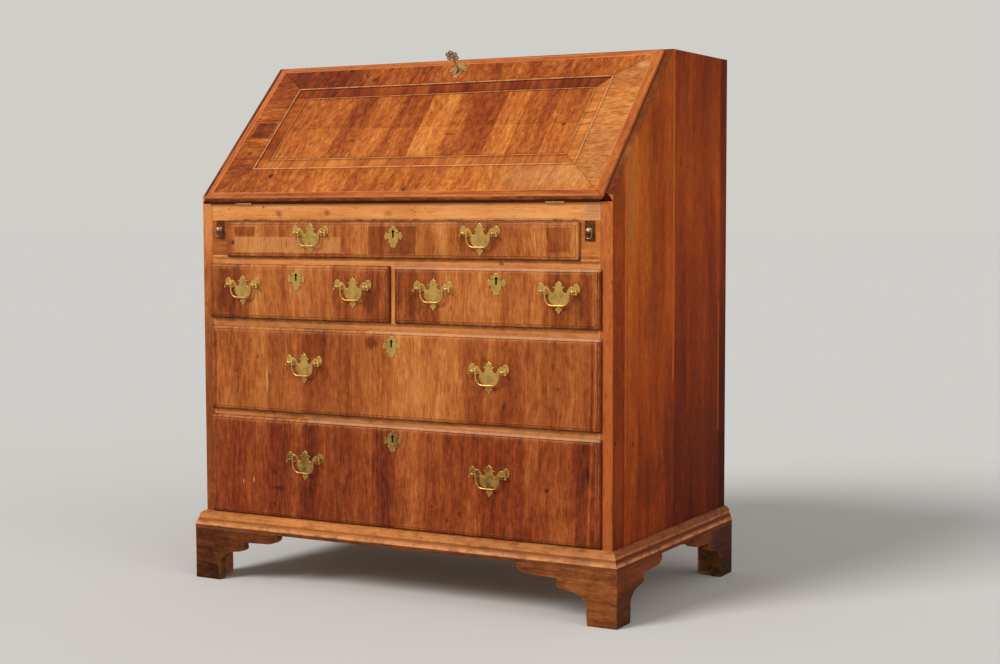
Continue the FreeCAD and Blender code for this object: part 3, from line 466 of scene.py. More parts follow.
def let_in(x0, z0, x1, z1, shade, amount=1.0, shape="shade"):
    """A piece of veneer let into the front, between two corners."""
    return (((x0 + x1) / 2, field_y, (z0 + z1) / 2), ((x1 - x0) / 2, mark_depth, (z1 - z0) / 2),
            (*shade[:3], 1), amount, shape)


def spot_on_lid(x, s, width, height, shade=knot, amount=0.8):
    """A mark on the lid, in the lid's own frame."""
    return ((x, s, lid_face), (width, height, mark_depth), shade, amount, "round")


def strips(axis, end, *steps, joint=0.002, zero=0.0):
    """A band from real places: each step is a place, a lift and a redness, held to the next.

    The first place is where the band starts. Places are counted from zero, and the joint is
    how wide the change from one strip to the next is.
    """
    start = steps[0][0]
    stops = [(0.0, *steps[0][1:])]
    for before, here in zip(steps, steps[1:]):
        stops.append(((here[0] - joint / 2 - start) / (end - start), *before[1:]))
        stops.append(((here[0] + joint / 2 - start) / (end - start), *here[1:]))
    return (axis, zero + start, zero + end, stops)


def halos(name, width=0.050, height=0.034, amount=0.3):
    """Polish darkens round the handles of a drawer, where no cloth reaches."""
    found = []
    for hand in ("left", "right"):
        low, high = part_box(f"{name}_{hand}_bail")
        found.append(spot_at((low.x + high.x) / 2, high.z - 0.010, width, height, stain, amount))
    return found


print("halos of the first drawer at x", [round(mark[0][0], 3) for mark in halos("first_drawer")])

# %% [markdown]
# ## Woods of rails and stiles
# The rails are a paler, plainer walnut with the grain across. Two columns of small dark holes
# show in the top rail; they are patches of colour, because holes of a millimetre need no shape
# of their own. Below each drawer's lip the rail carries a dark strip of painted shadow, and a
# darker painted shadow runs along the top rail's lower edge, over the gap above the first drawer.

# %% Rails and stiles
hole_places = [(0, 0.758), (0, 0.752), (0.006, 0.748), (0, 0.745), (0, 0.738), (0.006, 0.736)]
pin_holes = [spot_at(x - left, z, 0.0014, 0.0016, knot, 0.9)
             for x in (0.047, 0.264) for left, z in hole_places]
rail_wood = wood("rail_walnut", "x", amber, lift=0.09, pores=0.35, patches=[
    spot_at(-0.268, 0.743, 0.010, 0.008, stain, 0.6),
    spot_at(-0.153, 0.743, 0.009, 0.007, stain, 0.6),
    spot_at(-0.013, 0.742, 0.012, 0.007, stain, 0.5), spot_at(-0.306, 0.755, 0.004, 0.004),
    # Painted shadow along the top rail's lower edge, over the gap above the first drawer.
    let_in(-0.386, 0.7270, 0.386, 0.7320, (0.16, 0.10, 0.08)),
    spot_at(0.422, 0.744, 0.03, 0.03, tint(150, 110, 82), 0.6), *pin_holes])
# Painted shadows that the drawers' lips cast on the rails below them.
painted_shadow_under_lips = [let_in(-0.44, low, 0.44, high, (0.42, 0.34, 0.30), 0.9) for low, high in
               ((0.6505, 0.657), (0.5265, 0.534), (0.3425, 0.350), (0.1325, 0.140))]
low_rail_wood = wood("low_rail_walnut", "x", amber, tawny, red=0.3, pores=0.35, bands=[
    ("z", 0.1, 0.7, [(0.05, -0.09, 0.3), (0.407, -0.12, 0.2), (0.7, -0.08, 0.1),
                     (0.85, 0.02, -0.1), (1, 0.03, -0.1)])], patches=[
    spot_at(0.231, 0.6495, 0.007, 0.004), spot_at(-0.18, 0.344, 0.003, 0.003), *painted_shadow_under_lips])
housing_wood = wood("housing_walnut", "x", amber, ruddy, red=0.4, lift=-0.04, pores=0.35)
stile_wood = wood("stile_walnut", "z", amber, tawny, red=0.3, pores=0.4)
print(len(pin_holes), "small holes in", rail_wood.name)

# %% [markdown]
# ## The sides
# Each side is glued up from boards that stand upright: a narrow strip in front, then golden
# boards, then a redder one and a dark strip at the back. Strips change the tone at each
# joint, thin inlays draw its pale line, and broad soft patches make the wood uneven. The side
# also grows darker towards the back and towards the floor: painted shade of the light falling
# off. The front edge shows another face of the wood, so it has a palette of its own, and the
# left one is lighter at its top and darker lower down. The sloping edge has a dark palette,
# painted partly as the lid's shadow on it.

# %% Side boards
side_bands = [
    # Towards the back the strips grow darker and redder: boards, and painted shade of the light
    # falling off.
    strips("Y", case_depth, (0, 0.01, 0.1), (0.0525, 0.20, -0.4), (0.0550, 0.11, -0.2),
           (0.110, 0.09, 0.05), (0.2775, -0.01, 0.3), (0.509, -0.14, 0.55), joint=0.0015,
           zero=case_front),
    # Painted shade of the light falling off: darker towards the floor.
    ("z", 0.13, 1.06, [(0, -0.14, 0.45), (0.28, -0.06, 0.25), (0.48, 0.01, 0.10),
                       (0.75, 0.04, 0), (1, 0.02, 0.1)])]
side_patches = [((side * half_width, case_front + back, z), (0.02, ry, rz), shade, amount, shape)
                for side in (-1, 1) for back, z, ry, rz, shade, amount, shape in (
                    (0.5055, 0.43, 0.0028, 0.13, tint(200, 104, 42), 0.5, "inlay"),
                    (0.2730, 0.74, 0.0040, 0.32, tint(206, 108, 44), 0.5, "inlay"),
                    (0.0540, 0.44, 0.0026, 0.16, tint(196, 100, 42), 0.55, "inlay"),
                    (0.027, 0.25, 0.022, 0.12, tint(176, 80, 30), 0.35, "round"),
                    (0.026, 0.50, 0.024, 0.18, tint(92, 38, 18), 0.3, "round"),
                    (0.030, 0.765, 0.026, 0.05, tint(92, 48, 26), 0.45, "round"),
                    (0.078, 0.760, 0.026, 0.14, tint(184, 108, 46), 0.6, "round"),
                    (0.185, 0.900, 0.030, 0.08, tint(120, 48, 20), 0.5, "round"),
                    (0.169, 0.56, 0.05, 0.10, tint(110, 44, 18), 0.35, "round"),
                    (0.419, 0.30, 0.09, 0.10, tint(84, 34, 14), 0.35, "round"),
                    (0.279, 0.30, 0.07, 0.09, tint(84, 34, 14), 0.35, "round"),
                    (0.160, 0.24, 0.08, 0.06, tint(76, 32, 14), 0.35, "round"),
                    (0.013, 0.33, 0.004, 0.005, knot, 0.8, "round"),
                    (0.089, 0.32, 0.004, 0.005, knot, 0.7, "round"))]
side_patches += [((x, case_front, z), (0.02, 0.005, rz), shade, amount, "round")
                 for x, z, rz, shade, amount in (
                     (-0.445, 0.725, 0.08, tint(216, 138, 78), 0.7),
                     (-0.445, 0.36, 0.28, tint(110, 58, 30), 0.6),
                     (0.445, 0.42, 0.36, tint(184, 92, 46), 0.5))]
side_wood = wood("side_walnut", "z", side_gold, side_red, red=0.3, lift=-0.06, bands=side_bands,
                 weights=(0.26, 0.16, 0.34, 0.44, 0.03), patches=side_patches, specks=0.8,
                 short=1.6, shine=0.03, gloss=(0.5, 0.65),
                 facings=[(None, "y", case_front + 0.0012, case_front + 0.0004, stile_tone),
                          # The sloping edge takes a dark palette, painted partly as the lid's
                          # shadow.
                          (fall_place, "z", 0.0064, 0.0072, dusk)])
print(len(side_patches), "patches on", side_wood.name)

# %% [markdown]
# ## Woods of the base, the back and the inside
# The feet's wood is darker towards the floor, and darker still at the left and at the back.
# The back is of rough oak boards, and dark bands of two millimetres draw the joints between them.

# %% Base, feet, back and inside
plinth_z = 0.110
top_wood = wood("top_walnut", "x", golden, ruddy)
base_wood = wood("base_walnut", "x", amber, tawny, lift=-0.13, red=0.4, specks=0.9,
                 weights=(0.5, 0.28, 0.40, 0.5, 0.05),
                 facings=[(None, "z", plinth_z + 0.0006, plinth_z, foot_tone)])
base_side_wood = wood("base_side_walnut", "y", side_gold, side_red, red=0.7, lift=-0.18,
                      weights=(0.2, 0.2, 0.35, 0.4, 0.03), specks=0.8, shine=0.05)
foot_rise = ("z", 0.0, 0.11, [(0, -0.10, 0.4), (0.25, -0.03, 0.1), (1, 0.02, 0)])
foot_run = ("x", -0.474, 0.474, [(0, -0.24, 0.45), (0.2, -0.18, 0.35), (0.75, -0.02, -0.05),
                                 (1, 0.0, 0)])
foot_back = ("y", -0.28, 0.28, [(0, 0, 0), (0.75, 0, 0), (0.85, -0.14, 0.3), (1, -0.14, 0.3)])
foot_wood = wood("foot_walnut", "x", foot_gold, umber, red=0.45, specks=0.9, gloss=(0.45, 0.6),
                 weights=(0.4, 0.25, 0.4, 0.6, 0.05), shine=0.06, bands=[foot_run, foot_rise])
foot_side_wood = wood("foot_side_walnut", "y", side_gold, umber, red=0.75, lift=-0.10,
                      specks=0.8, gloss=(0.45, 0.6), weights=(0.4, 0.25, 0.4, 0.5, 0.05),
                      shine=0.06, bands=[foot_rise, foot_back])
lining_wood = wood("oak_lining", "x", straw, pores=0.8, gloss=(0.5, 0.62))
back_low, back_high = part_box("back_boards")
board_height = (back_high.z - back_low.z) / 3
half_gap = 0.001
board_steps = [(back_low.z, 0, 0)]
for number, lift in ((1, -0.08), (2, 0.05)):
    joint_z = back_low.z + number * board_height
    board_steps += [(joint_z - half_gap, -0.5, 0), (joint_z + half_gap, lift, 0)]
back_wood = wood("back_board_oak", "x", straw, pores=0.8, gloss=(0.5, 0.62),
                 bands=[strips("Z", back_high.z, *board_steps, joint=0.001)])
gallery_wood = wood("gallery_walnut", "z", golden, ruddy)
loper_wood = wood("loper_walnut", "y", umber, lift=-0.1)
fixing_wood = wood("peg_and_nail_ends", "x", amber, pores=0.35,
                   facings=[(None, "y", -0.1, 0.1, rust)])
print("back boards are", round(board_height, 3), "high")

# %% [markdown]
# ## Veneers of the drawers
# Each drawer front is veneered with upright strips, and a narrow one of another tone closes
# each end. The tops of some fronts are pale: rubbed by hands, and painted lighter where the
# light catches them. The strips and marks of each drawer are set one by one, and the finer
# figure is left to the noise.

# %% Veneers of the drawers
field_woods = {}


def field_wood(name, bands, patches, red, weights=(0.40, 0.28, 0.54, 0.48, 0.08)):
    """The veneer of one drawer, with the dark polish round its handles."""
    field_woods[name] = wood(name + "_walnut", "z", golden, ruddy, bands=bands, red=red,
                             patches=patches + halos(name), weights=weights, pores=0.5,
                             short=1.8)


field_wood("first_drawer", red=0.15, bands=[
    strips("x", 0.394, (-0.394, 0.0, 0.2), (-0.380, 0.03, 0), (-0.300, 0.05, 0),
           (-0.118, 0.05, 0), (0.140, 0.02, 0.1), (0.334, 0.05, 0), (0.377, 0.05, 0),
           (0.3865, 0.09, -0.1))], patches=[
    let_in(-0.372, 0.698, -0.322, 0.716, (0.66, 0.56, 0.50)),
    let_in(-0.372, 0.666, -0.117, 0.696, tint(218, 150, 88), 0.45, "inlay"),
    let_in(-0.054, 0.664, 0.053, 0.718, (0.60, 0.50, 0.46)),
    let_in(0.330, 0.672, 0.377, 0.716, (0.74, 0.66, 0.64)),
    let_in(0.05, 0.7255, 0.394, 0.7315, worn_lit_top, 0.35, "inlay"),
    spot_at(-0.376, 0.685, 0.006, 0.006)])
field_wood("second_left_drawer", red=0.25, bands=[
    strips("x", -0.008, (-0.437, -0.10, 0.3), (-0.425, -0.02, 0.1), (-0.395, -0.04, 0.2),
           (-0.330, 0.04, -0.1), (-0.255, 0.02, 0), (-0.214, 0.11, -0.2), (-0.135, 0.01, 0.1),
           (-0.060, -0.09, 0.4), (-0.030, -0.02, 0.2), (-0.016, -0.10, 0.4))], patches=[
    spot_at(-0.405, 0.572, 0.014, 0.028, stain, 0.6),
    spot_at(-0.052, 0.572, 0.016, 0.030, stain, 0.6)])
field_wood("second_right_drawer", red=0.3, bands=[
    strips("x", 0.437, (0.002, -0.10, 0.3), (0.014, -0.02, 0.2), (0.026, -0.07, 0.4),
           (0.050, -0.03, 0.15), (0.100, 0.03, -0.1), (0.172, 0.06, -0.2), (0.235, 0.01, 0),
           (0.275, 0.04, -0.1), (0.320, -0.02, 0.15), (0.392, -0.10, 0.4),
           (0.416, -0.02, 0.1), (0.428, -0.10, 0.4))], patches=[
    let_in(0.002, 0.6370, 0.437, 0.6430, worn_lit_top, 0.45, "inlay"),
    spot_at(0.046, 0.570, 0.018, 0.032, stain, 0.6),
    spot_at(0.395, 0.584, 0.014, 0.038, stain, 0.6)])
print("veneers of", ", ".join(field_woods))

# %% Veneers of the long drawers
field_wood("third_drawer", red=0.15, weights=(0.36, 0.26, 0.50, 0.46, 0.06), bands=[
    strips("x", 0.437, (-0.437, -0.01, 0.0), (-0.380, 0.0, -0.1), (-0.300, -0.01, 0.2),
           (-0.240, -0.03, 0.45), (-0.150, 0.0, 0.2), (-0.030, 0.05, -0.1),
           (0.150, -0.01, 0.35), (0.230, -0.03, 0.45), (0.330, -0.01, 0.3), joint=0.03),
    strips("x", 0.437, (-0.437, -0.10, 0.4), (-0.424, 0.03, 0), (-0.420, 0, 0),
           (0.416, -0.13, 0.5), (0.420, 0.06, 0), (0.426, -0.04, 0.4), joint=0.001)], patches=[
    let_in(-0.060, 0.5125, 0.437, 0.5185, worn_lit_top, 0.40, "inlay"),
    spot_at(-0.37, 0.428, 0.005, 0.004, stain, 0.6),
    spot_at(-0.318, 0.458, 0.004, 0.004, stain, 0.6),
    spot_at(-0.296, 0.415, 0.003, 0.032, pale_scar, 0.7),
    spot_at(-0.050, 0.494, 0.013, 0.016, stain, 0.7),
    spot_at(0.352, 0.424, 0.005, 0.004, stain, 0.6),
    spot_at(0.06, 0.40, 0.03, 0.05, tint(206, 128, 62), 0.35)])
field_wood("fourth_drawer", red=0.85, weights=(0.28, 0.30, 0.60, 0.52, 0.06), bands=[
    strips("x", 0.437, (-0.437, -0.03, 0.1), (-0.352, 0.0, -0.05), (-0.290, -0.10, 0.1),
           (-0.240, -0.05, 0), (-0.206, -0.18, 0.15), (-0.176, -0.04, -0.05),
           (-0.150, -0.09, 0), (-0.110, -0.02, -0.1), (-0.050, -0.16, 0.15),
           (0.003, 0.02, -0.10), (0.085, -0.02, 0), (0.180, -0.03, 0), (0.270, -0.03, 0),
           (0.380, -0.07, 0.1), joint=0.024),
    strips("x", 0.437, (-0.437, -0.08, 0.1), (-0.424, 0.03, 0), (-0.420, 0, 0),
           (0.392, -0.10, 0.1), (0.4165, 0.10, -0.3), (0.4205, -0.02, 0.3),
           joint=0.001)], patches=[
    let_in(-0.200, 0.3325, 0.437, 0.3385, worn_lit_top, 0.40, "inlay"),
    spot_at(-0.279, 0.229, 0.004, 0.004), spot_at(-0.272, 0.198, 0.016, 0.006),
    spot_at(-0.279, 0.165, 0.004, 0.004), spot_at(-0.357, 0.205, 0.002, 0.006, pale_scar),
    spot_at(-0.331, 0.210, 0.002, 0.006, pale_scar), spot_at(0.0855, 0.19, 0.004, 0.003),
    spot_at(0.145, 0.18, 0.004, 0.008), spot_at(0.118, 0.165, 0.003, 0.006),
    spot_at(0.329, 0.238, 0.006, 0.006), spot_at(0.012, 0.19, 0.02, 0.05, stain, 0.3)])
print("veneers of", ", ".join(field_woods))

# %% [markdown]
# ## Woods of the lid
# The lid has the showiest veneer of the desk, cut across curly wood. The frame's four sides
# and the four bands of the moulding have their grain across their length, and each came from
# another sheet. The bands slope down to the panel, and their tones also carry painted light and
# shade: the bottom and right bands lighter, the top and left ones darker. Their figure follows
# the lid's own frame, so that it doesn't slide on the slope.

# %% Woods of the lid
lid_woods = {}
core_half = 0.4402


def lid_wood(name, grain, light=lid_gold, deep=lid_red, **settings):
    """A wood of the lid, in the lid's own frame."""
    lid_woods[name] = wood(f"lid_{name}_walnut", grain, light, deep, place=fall_place,
                           **settings)


def lid_veneer(name, grain, weights=(0.36, 0.26, 0.60, 0.85, 0.05), **settings):
    """Curly veneer: short streaks, much mottling and fine pores."""
    lid_wood(name, grain, weights=weights, short=3.0, pores=0.4, **settings)


lid_wood("lip", "x", lip_tone, golden, red=0.3, specks=0.7)
lid_wood("lip_side", "y", lip_tone, golden, red=0.1, lift=0.02, specks=0.7)
# The core's lower end and its two outer edges beside the case are painted dark as shade.
lid_wood("core", "x", golden, ruddy, facings=[
    (None, "y", 0.0004, -0.0008, gloom), (None, "x", core_half, core_half + 0.001, dusk),
    (None, "x", -core_half, -core_half - 0.001, dusk)])
# Painted light and shade on the moulding's slopes: bottom and right lighter, top and left darker.
lid_wood("band_bottom", "y", red=0.2, lift=0.06)
lid_wood("band_top", "y", red=0.9, lift=-0.10)
lid_wood("band_left", "x", red=0.5, lift=-0.02)
lid_wood("band_right", "x", red=0.0, lift=0.11, bands=[
    strips("y", 0.32, (0.08, 0.0, 0), (0.189, -0.3, 0), (0.192, 0.05, 0), (0.220, -0.3, 0),
           (0.223, 0.04, 0))])
print("plain woods of the lid:", ", ".join(lid_woods))

# %% Veneers of the lid
lid_veneer("bottom", "y", red=0.2, lift=0.02, specks=0.8, bands=[
    strips("x", 0.442, (-0.442, -0.08, 0.2), (-0.300, -0.02, 0.1), (-0.044, 0.12, -0.2),
           (-0.041, 0.03, -0.2), (0.018, 0.10, -0.2), (0.021, 0.0, 0.1), (0.150, 0.04, -0.2),
           (0.330, 0.06, -0.3))], patches=[
    spot_on_lid(-0.305, 0.059, 0.006, 0.008), spot_on_lid(0.0227, 0.018, 0.004, 0.004),
    spot_on_lid(0.0605, 0.010, 0.003, 0.003, knot, 0.7),
    spot_on_lid(0.082, 0.006, 0.008, 0.003, knot, 0.6),
    spot_on_lid(0.33, 0.05, 0.14, 0.04, tint(200, 148, 94), 0.35)])
lid_veneer("top", "y", red=0.62, lift=-0.02, specks=0.8, bands=[
    strips("x", 0.442, (-0.442, -0.12, 0.3), (-0.2, -0.01, 0.0), (-0.021, 0.06, 0),
           (-0.018, 0, 0), (0.12, 0.02, -0.1), (0.26, 0.05, -0.3))],
           patches=[spot_on_lid(-0.182, 0.337, 0.008, 0.008, knot, 0.6)])
mended = ((-0.3915, 0.19325, lid_face), (0.0235, 0.02225, mark_depth), (0.52, 0.42, 0.38, 1), 1.0,
          "shade")
lid_veneer("left", "x", red=0.45, lift=-0.04, specks=0.8, bands=[
    strips("Y", 0.386, (0.0, -0.07, 0.1), (0.095, 0.0, 0), (0.1645, 0.16, -0.2),
           (0.1665, -0.01, 0.1), (0.2180, 0.16, -0.2), (0.2200, -0.02, 0.1), joint=0.0008)],
           patches=[mended, spot_on_lid(-0.392, 0.125, 0.007, 0.007)])
lid_veneer("right", "x", deep=tawny, red=0.55, lift=0.10, specks=0.9, bands=[
    strips("y", 0.386, (0.0, 0.02, 0), (0.12, 0, 0), (0.25, -0.02, 0), (0.30, -0.03, 0))],
           patches=[spot_on_lid(0.414, 0.345, 0.014, 0.010, tint(214, 156, 92), 0.6)])
lid_veneer("panel", "y", (0.28, 0.26, 0.60, 0.75, 0.06), red=0.35, lift=0.015, specks=0.7, bands=[
    strips("x", 0.331, (-0.331, 0.02, -0.1), (-0.203, -0.02, 0.1), (-0.154, 0.02, 0),
           (-0.090, -0.04, 0.25), (-0.020, 0.07, -0.35), (0.050, 0.0, 0.1),
           (0.080, -0.03, 0.3), (0.150, 0.07, -0.35), (0.200, -0.01, 0.1),
           (0.270, 0.04, -0.1)),
    strips("y", 0.288, (0.11, 0.02, 0), (0.196, -0.10, 0), (0.1985, -0.02, 0.1))], patches=[
    spot_on_lid(0.063, 0.171, 0.012, 0.003), spot_on_lid(0.30, 0.19, 0.005, 0.005),
    spot_on_lid(-0.16, 0.16, 0.01, 0.004, stain, 0.7)])
print("all woods of the lid:", ", ".join(lid_woods))

# %% [markdown]
# ## Metal
# The handles are cast brass, cleaned for generations: yellow and bright where hands rub it,
# brown where polish dries. The hinges are duller, and the lid's lock and bolt are iron.

# %% Metal materials
def metal(name, bright, dull, gloss, dirt=0.5, metallic=1.0, low_dulling=0.0):
    """A metal whose noise mixes a bright and a dull colour, with fine scratches.

    The attribute brightens edges for rubbing and for a painted highlight, and leaves polish in
    the corners. The last argument makes what is near the floor duller and darker.
    """
    material, tree, shader, here = new_material(name)
    cloud = noise(tree, here, 3.0, 0.55, 70)
    speck = noise(tree, here, 2.0, 0.7, 900)
    share = smooth(tree, cloud, 0.32, 0.74, 0.0, dirt)
    height = coordinate(tree, here, "z")
    share = calc(tree, "ADD", share, smooth(tree, height, 0.46, 0.30, 0.0, low_dulling))
    rub_and_light = add(tree, "Attribute", attribute_name="wear_and_light").outputs["Fac"]
    share = add(tree, "Clamp", calc(tree, "SUBTRACT", share, rub_and_light))
    colour = blend(tree, share, bright, dull)
    colour = blend(tree, smooth(tree, speck, 0.60, 0.70, 0.0, 0.15), colour, dull)
    put(tree, shader, "Base Color", colour)
    put(tree, shader, "Roughness", smooth(tree, cloud, 0.3, 0.7, *gloss))
    put(tree, shader, "Metallic", metallic)
    bumped(tree, shader, speck, 0.2, 0.0003)
    return material


brass = metal("aged_brass", tint(212, 170, 88), tint(118, 80, 34), (0.24, 0.38), 0.6, 0.8, 0.45)
bail_brass = metal("bail_brass", tint(206, 156, 82), tint(128, 86, 42), (0.24, 0.34), 0.4, 0.85,
                   0.3)
ring_metal = metal("ring_metal", tint(150, 124, 98), tint(66, 48, 38), (0.24, 0.38), 0.7, 0.85)
dull_brass = metal("dull_brass", tint(208, 164, 104), tint(120, 86, 50), (0.36, 0.52), 0.7)
pale_brass = metal("pale_brass", tint(226, 198, 146), tint(150, 118, 70), (0.25, 0.4), 0.5, 0.8)
key_metal = metal("key_metal", tint(182, 154, 122), tint(120, 94, 68), (0.35, 0.5), 0.5, 0.35)
iron = metal("old_iron", tint(92, 72, 58), tint(46, 32, 24), (0.42, 0.6), 0.9)
shadow = metal("keyhole_dark", tint(40, 28, 20), tint(22, 14, 10), (0.7, 0.9))
print(len(bpy.data.materials), "materials so far")

# %% [markdown]
# ## Surfaces from numbers
# A new piece is a set of rings: loops of points that are carried along a path or drawn in
# towards the middle of a face. All points of a ring are worked out at once as an array.
# Quads join each ring to the next, and one flat face closes each end. Every point also
# carries a value of wear and painted light: above zero where hands rub an edge or a highlight
# is painted, and below zero where dirt settles or shade is painted.

# %% Skins and pieces
def loft(rings, wear_and_light=0.0, caps=True):
    """Quads between neighbouring rings of an array (rings, points, 3), turned outwards.

    The sum of the signed volumes under all triangles is negative for a shape that is
    inside out, and then every face is reversed.
    """
    rings = np.asarray(rings, float)
    rows, cols = rings.shape[:2]
    here = np.arange(rows * cols).reshape(rows, cols)
    after = np.roll(here, -1, axis=1)
    quads = np.stack([here[:-1], after[:-1], after[1:], here[1:]], -1).reshape(-1, 4)
    points = rings.reshape(-1, 3)
    triangles = [quads[:, [0, 1, 2]], quads[:, [0, 2, 3]]]
    if caps:
        for ring, order in ((here[0], (0, 2, 1)), (here[-1], (0, 1, 2))):
            fan = np.stack([np.full(cols - 2, ring[0]), ring[1:-1], ring[2:]], -1)
            triangles.append(fan[:, order])
    corner = points[np.vstack(triangles)] - points.mean(axis=0)
    volume = np.einsum("ij,ij->i", corner[:, 0], np.cross(corner[:, 1], corner[:, 2])).sum()
    faces = quads.tolist()
    if caps:
        faces += [here[0, ::-1].tolist(), here[-1].tolist()]
    if volume < 0:
        faces = [face[::-1] for face in faces]
    return points, faces, np.broadcast_to(wear_and_light, (rows, cols)).reshape(-1)


def build(name, body, skins, finishes, replaced=(), sharp=38):
    """Puts skins into one mesh, rides it on a body and lets it stand for nodes."""
    points, faces, wear_and_light, kinds = [], [], [], []
    count = 0
    for number, group in enumerate(skins):
        for skin_points, skin_faces, skin_wear in group:
            points.append(skin_points)
            wear_and_light.append(skin_wear)
            faces += [[corner + count for corner in face] for face in skin_faces]
            kinds += [number] * len(skin_faces)
            count += len(skin_points)
    mesh = bpy.data.meshes.new(name)
    mesh.from_pydata(np.vstack(points).tolist(), [], faces)
    mesh.attributes.new("wear_and_light", "FLOAT", "POINT").data.foreach_set(
        "value", np.concatenate(wear_and_light).astype(np.float32))
    for finish in finishes:
        mesh.materials.append(finish)
    mesh.polygons.foreach_set("material_index", kinds)
    mesh.polygons.foreach_set("use_smooth", [True] * len(kinds))
    mesh.set_sharp_from_angle(angle=math.radians(sharp))
    piece = bpy.data.objects.new(name, mesh)
    scene.collection.objects.link(piece)
    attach(piece, body)
    if replaced:
        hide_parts(*replaced)
    print(name, len(faces), "faces")
    return piece


# %% [markdown]
# ## Boards
# A box has edges like a knife and faces like glass, and no old board has either. A Bevel
# modifier would ease its edges. Round rectangles carried along the longest side do that too,
# carry the wear of the edges with a painted highlight as well, and are bent by a few slow
# waves at the end.

# %% Boards with eased edges
chance = np.random.default_rng(11)
wave_lengths = np.linspace(0.11, 0.42, 6)
count = len(wave_lengths)
waves = chance.normal(size=(count, 3))
waves *= (2 * math.pi / wave_lengths / np.linalg.norm(waves, axis=1))[:, None]
phases = chance.uniform(0, 2 * math.pi, count)
sway = chance.normal(size=(count, 3)) / count


def aged(skin, depth=0.0004):
    """Adds six slow sine waves of the position to it: old boards are never quite flat."""
    points, faces, wear_and_light = skin
    return points + depth * np.sin(points @ waves.T + phases) @ sway, faces, wear_and_light


def shares(length, pitch=0.025, hold=0.0006, edge=0.004):
    """Places from 0 to 1 along a side, with close ones near both ends."""
    if length < 4 * edge:
        return np.linspace(0, 1, 4)
    count = max(2, int(length / pitch) + 1)
    middle = np.linspace(edge, length - edge, count)
    return np.concatenate([[0, hold], middle, [length - hold, length]]) / length


def rectangle(width, height, inset, corner, across_shares, up_shares):
    """A loop with round corners: each point is a corner centre plus the radius outwards."""
    half = np.array([width, height]) / 2 - inset - corner
    points = []
    for quarter in range(4):
        a = quarter * math.pi / 2
        out = np.array([math.cos(a), math.sin(a)])
        along = np.array([-math.sin(a), math.cos(a)])
        places = up_shares if quarter % 2 == 0 else across_shares
        run = 2 * places[:, None] - 1
        points.append((out + run * along) * half + corner * out)
        turns = a + np.radians([22.5, 45, 67.5])[:, None]
        points.append((out + along) * half
                      + corner * np.hstack([np.cos(turns), np.sin(turns)]))
    return np.vstack(points)


def near_ends(places, length, reach=0.003):
    """One at the ends of a side, falling off within a reach."""
    away = np.minimum(places, 1 - places) * length
    return np.exp(-away / reach)


def block(low, high, ease=0.0012, pitch=0.03):
    """A board with eased edges: round rectangles carried along its longest side."""
    low, high = np.array(low), np.array(high)
    size = high - low
    axis = int(np.argmax(size))
    others = [k for k in range(3) if k != axis]
    width, height = size[others]
    across_shares, up_shares = shares(width, pitch), shares(height, pitch)
    ends = np.radians([80, 54, 27, 0])
    insets = ease * (1 - np.cos(ends))
    starts = ease * (1 - np.sin(ends)) / size[axis]
    middle = shares(size[axis] - 2 * ease, pitch)[1:-1] * (1 - 2 * starts[-1]) + starts[-1]
    places = np.concatenate([starts, middle, 1 - starts[::-1]])
    steps = np.concatenate([insets, np.zeros(len(middle)), insets[::-1]])
    rings = []
    for place, inset in zip(places, steps):
        loop = rectangle(width, height, inset, max(ease - inset, 0.0001),
                         across_shares, up_shares)
        ring = np.empty((len(loop), 3))
        ring[:, others] = loop + (low + high)[others] / 2
        ring[:, axis] = low[axis] + place * size[axis]
        rings.append(ring)
    along = near_ends(places, size[axis])[:, None]
    worn_and_lit = np.concatenate([np.concatenate([near_ends(side, length), np.ones(3)])
                           for side, length in ((up_shares, height), (across_shares, width)) * 2])
    return aged(loft(rings, np.maximum(along, worn_and_lit[None, :])), 0.0003)


print("a one metre board has", len(block((0, 0, 0), (1, 0.02, 0.03))[0]), "points")

# %% [markdown]
# ## Outlines and plates
# Sawn and filed parts are flat: an outline of lines and arcs and a thickness. A curve object
# could be filled and bevelled. Here the outline is an array, and copies of it that shrink as
# they rise make the eased edge.

# %% Outlines and plates
def curve(start, steps, count=7):
    """Points along lines and three-point arcs.

    A step with two numbers is a line to that point. One with four is an arc through its
    first pair: the centre is as far from all three points, and the angle runs evenly.
    """
    points = [np.array(start, float)[None]]
    for step in steps:
        a, c = points[-1][-1], np.array(step[-2:])
        if len(step) == 2:
            points.append(c[None])
            continue
        b = np.array(step[:2])
        sides = 2 * np.array([b - a, c - a])
        centre = np.linalg.solve(sides, [b @ b - a @ a, c @ c - a @ a])
        angles = np.unwrap([math.atan2(*(p - centre)[::-1]) for p in (a, b, c)])
        turn = np.linspace(angles[0], angles[2], count)[1:, None]
        radius = np.linalg.norm(a - centre)
        points.append(centre + radius * np.hstack([np.cos(turn), np.sin(turn)]))
    return np.vstack(points)


def inward(loop, distance):
    """A closed loop moved in: each corner goes along the middle of its two edge normals."""
    before = loop - np.roll(loop, 1, axis=0)
    after = np.roll(before, -1, axis=0)
    normals = []
    for edge in (before, after):
        edge = edge / np.linalg.norm(edge, axis=1, keepdims=True)
        normals.append(np.stack([-edge[:, 1], edge[:, 0]], axis=1))
    both = normals[0] + normals[1]
    dots = np.einsum("ij,ij->i", normals[0], normals[1])
    area = (loop[:, 0] * np.roll(loop[:, 1], -1) - loop[:, 1] * np.roll(loop[:, 0], -1)).sum()
    return loop + math.copysign(distance, area) * both / (1 + dots).clip(0.25)[:, None]


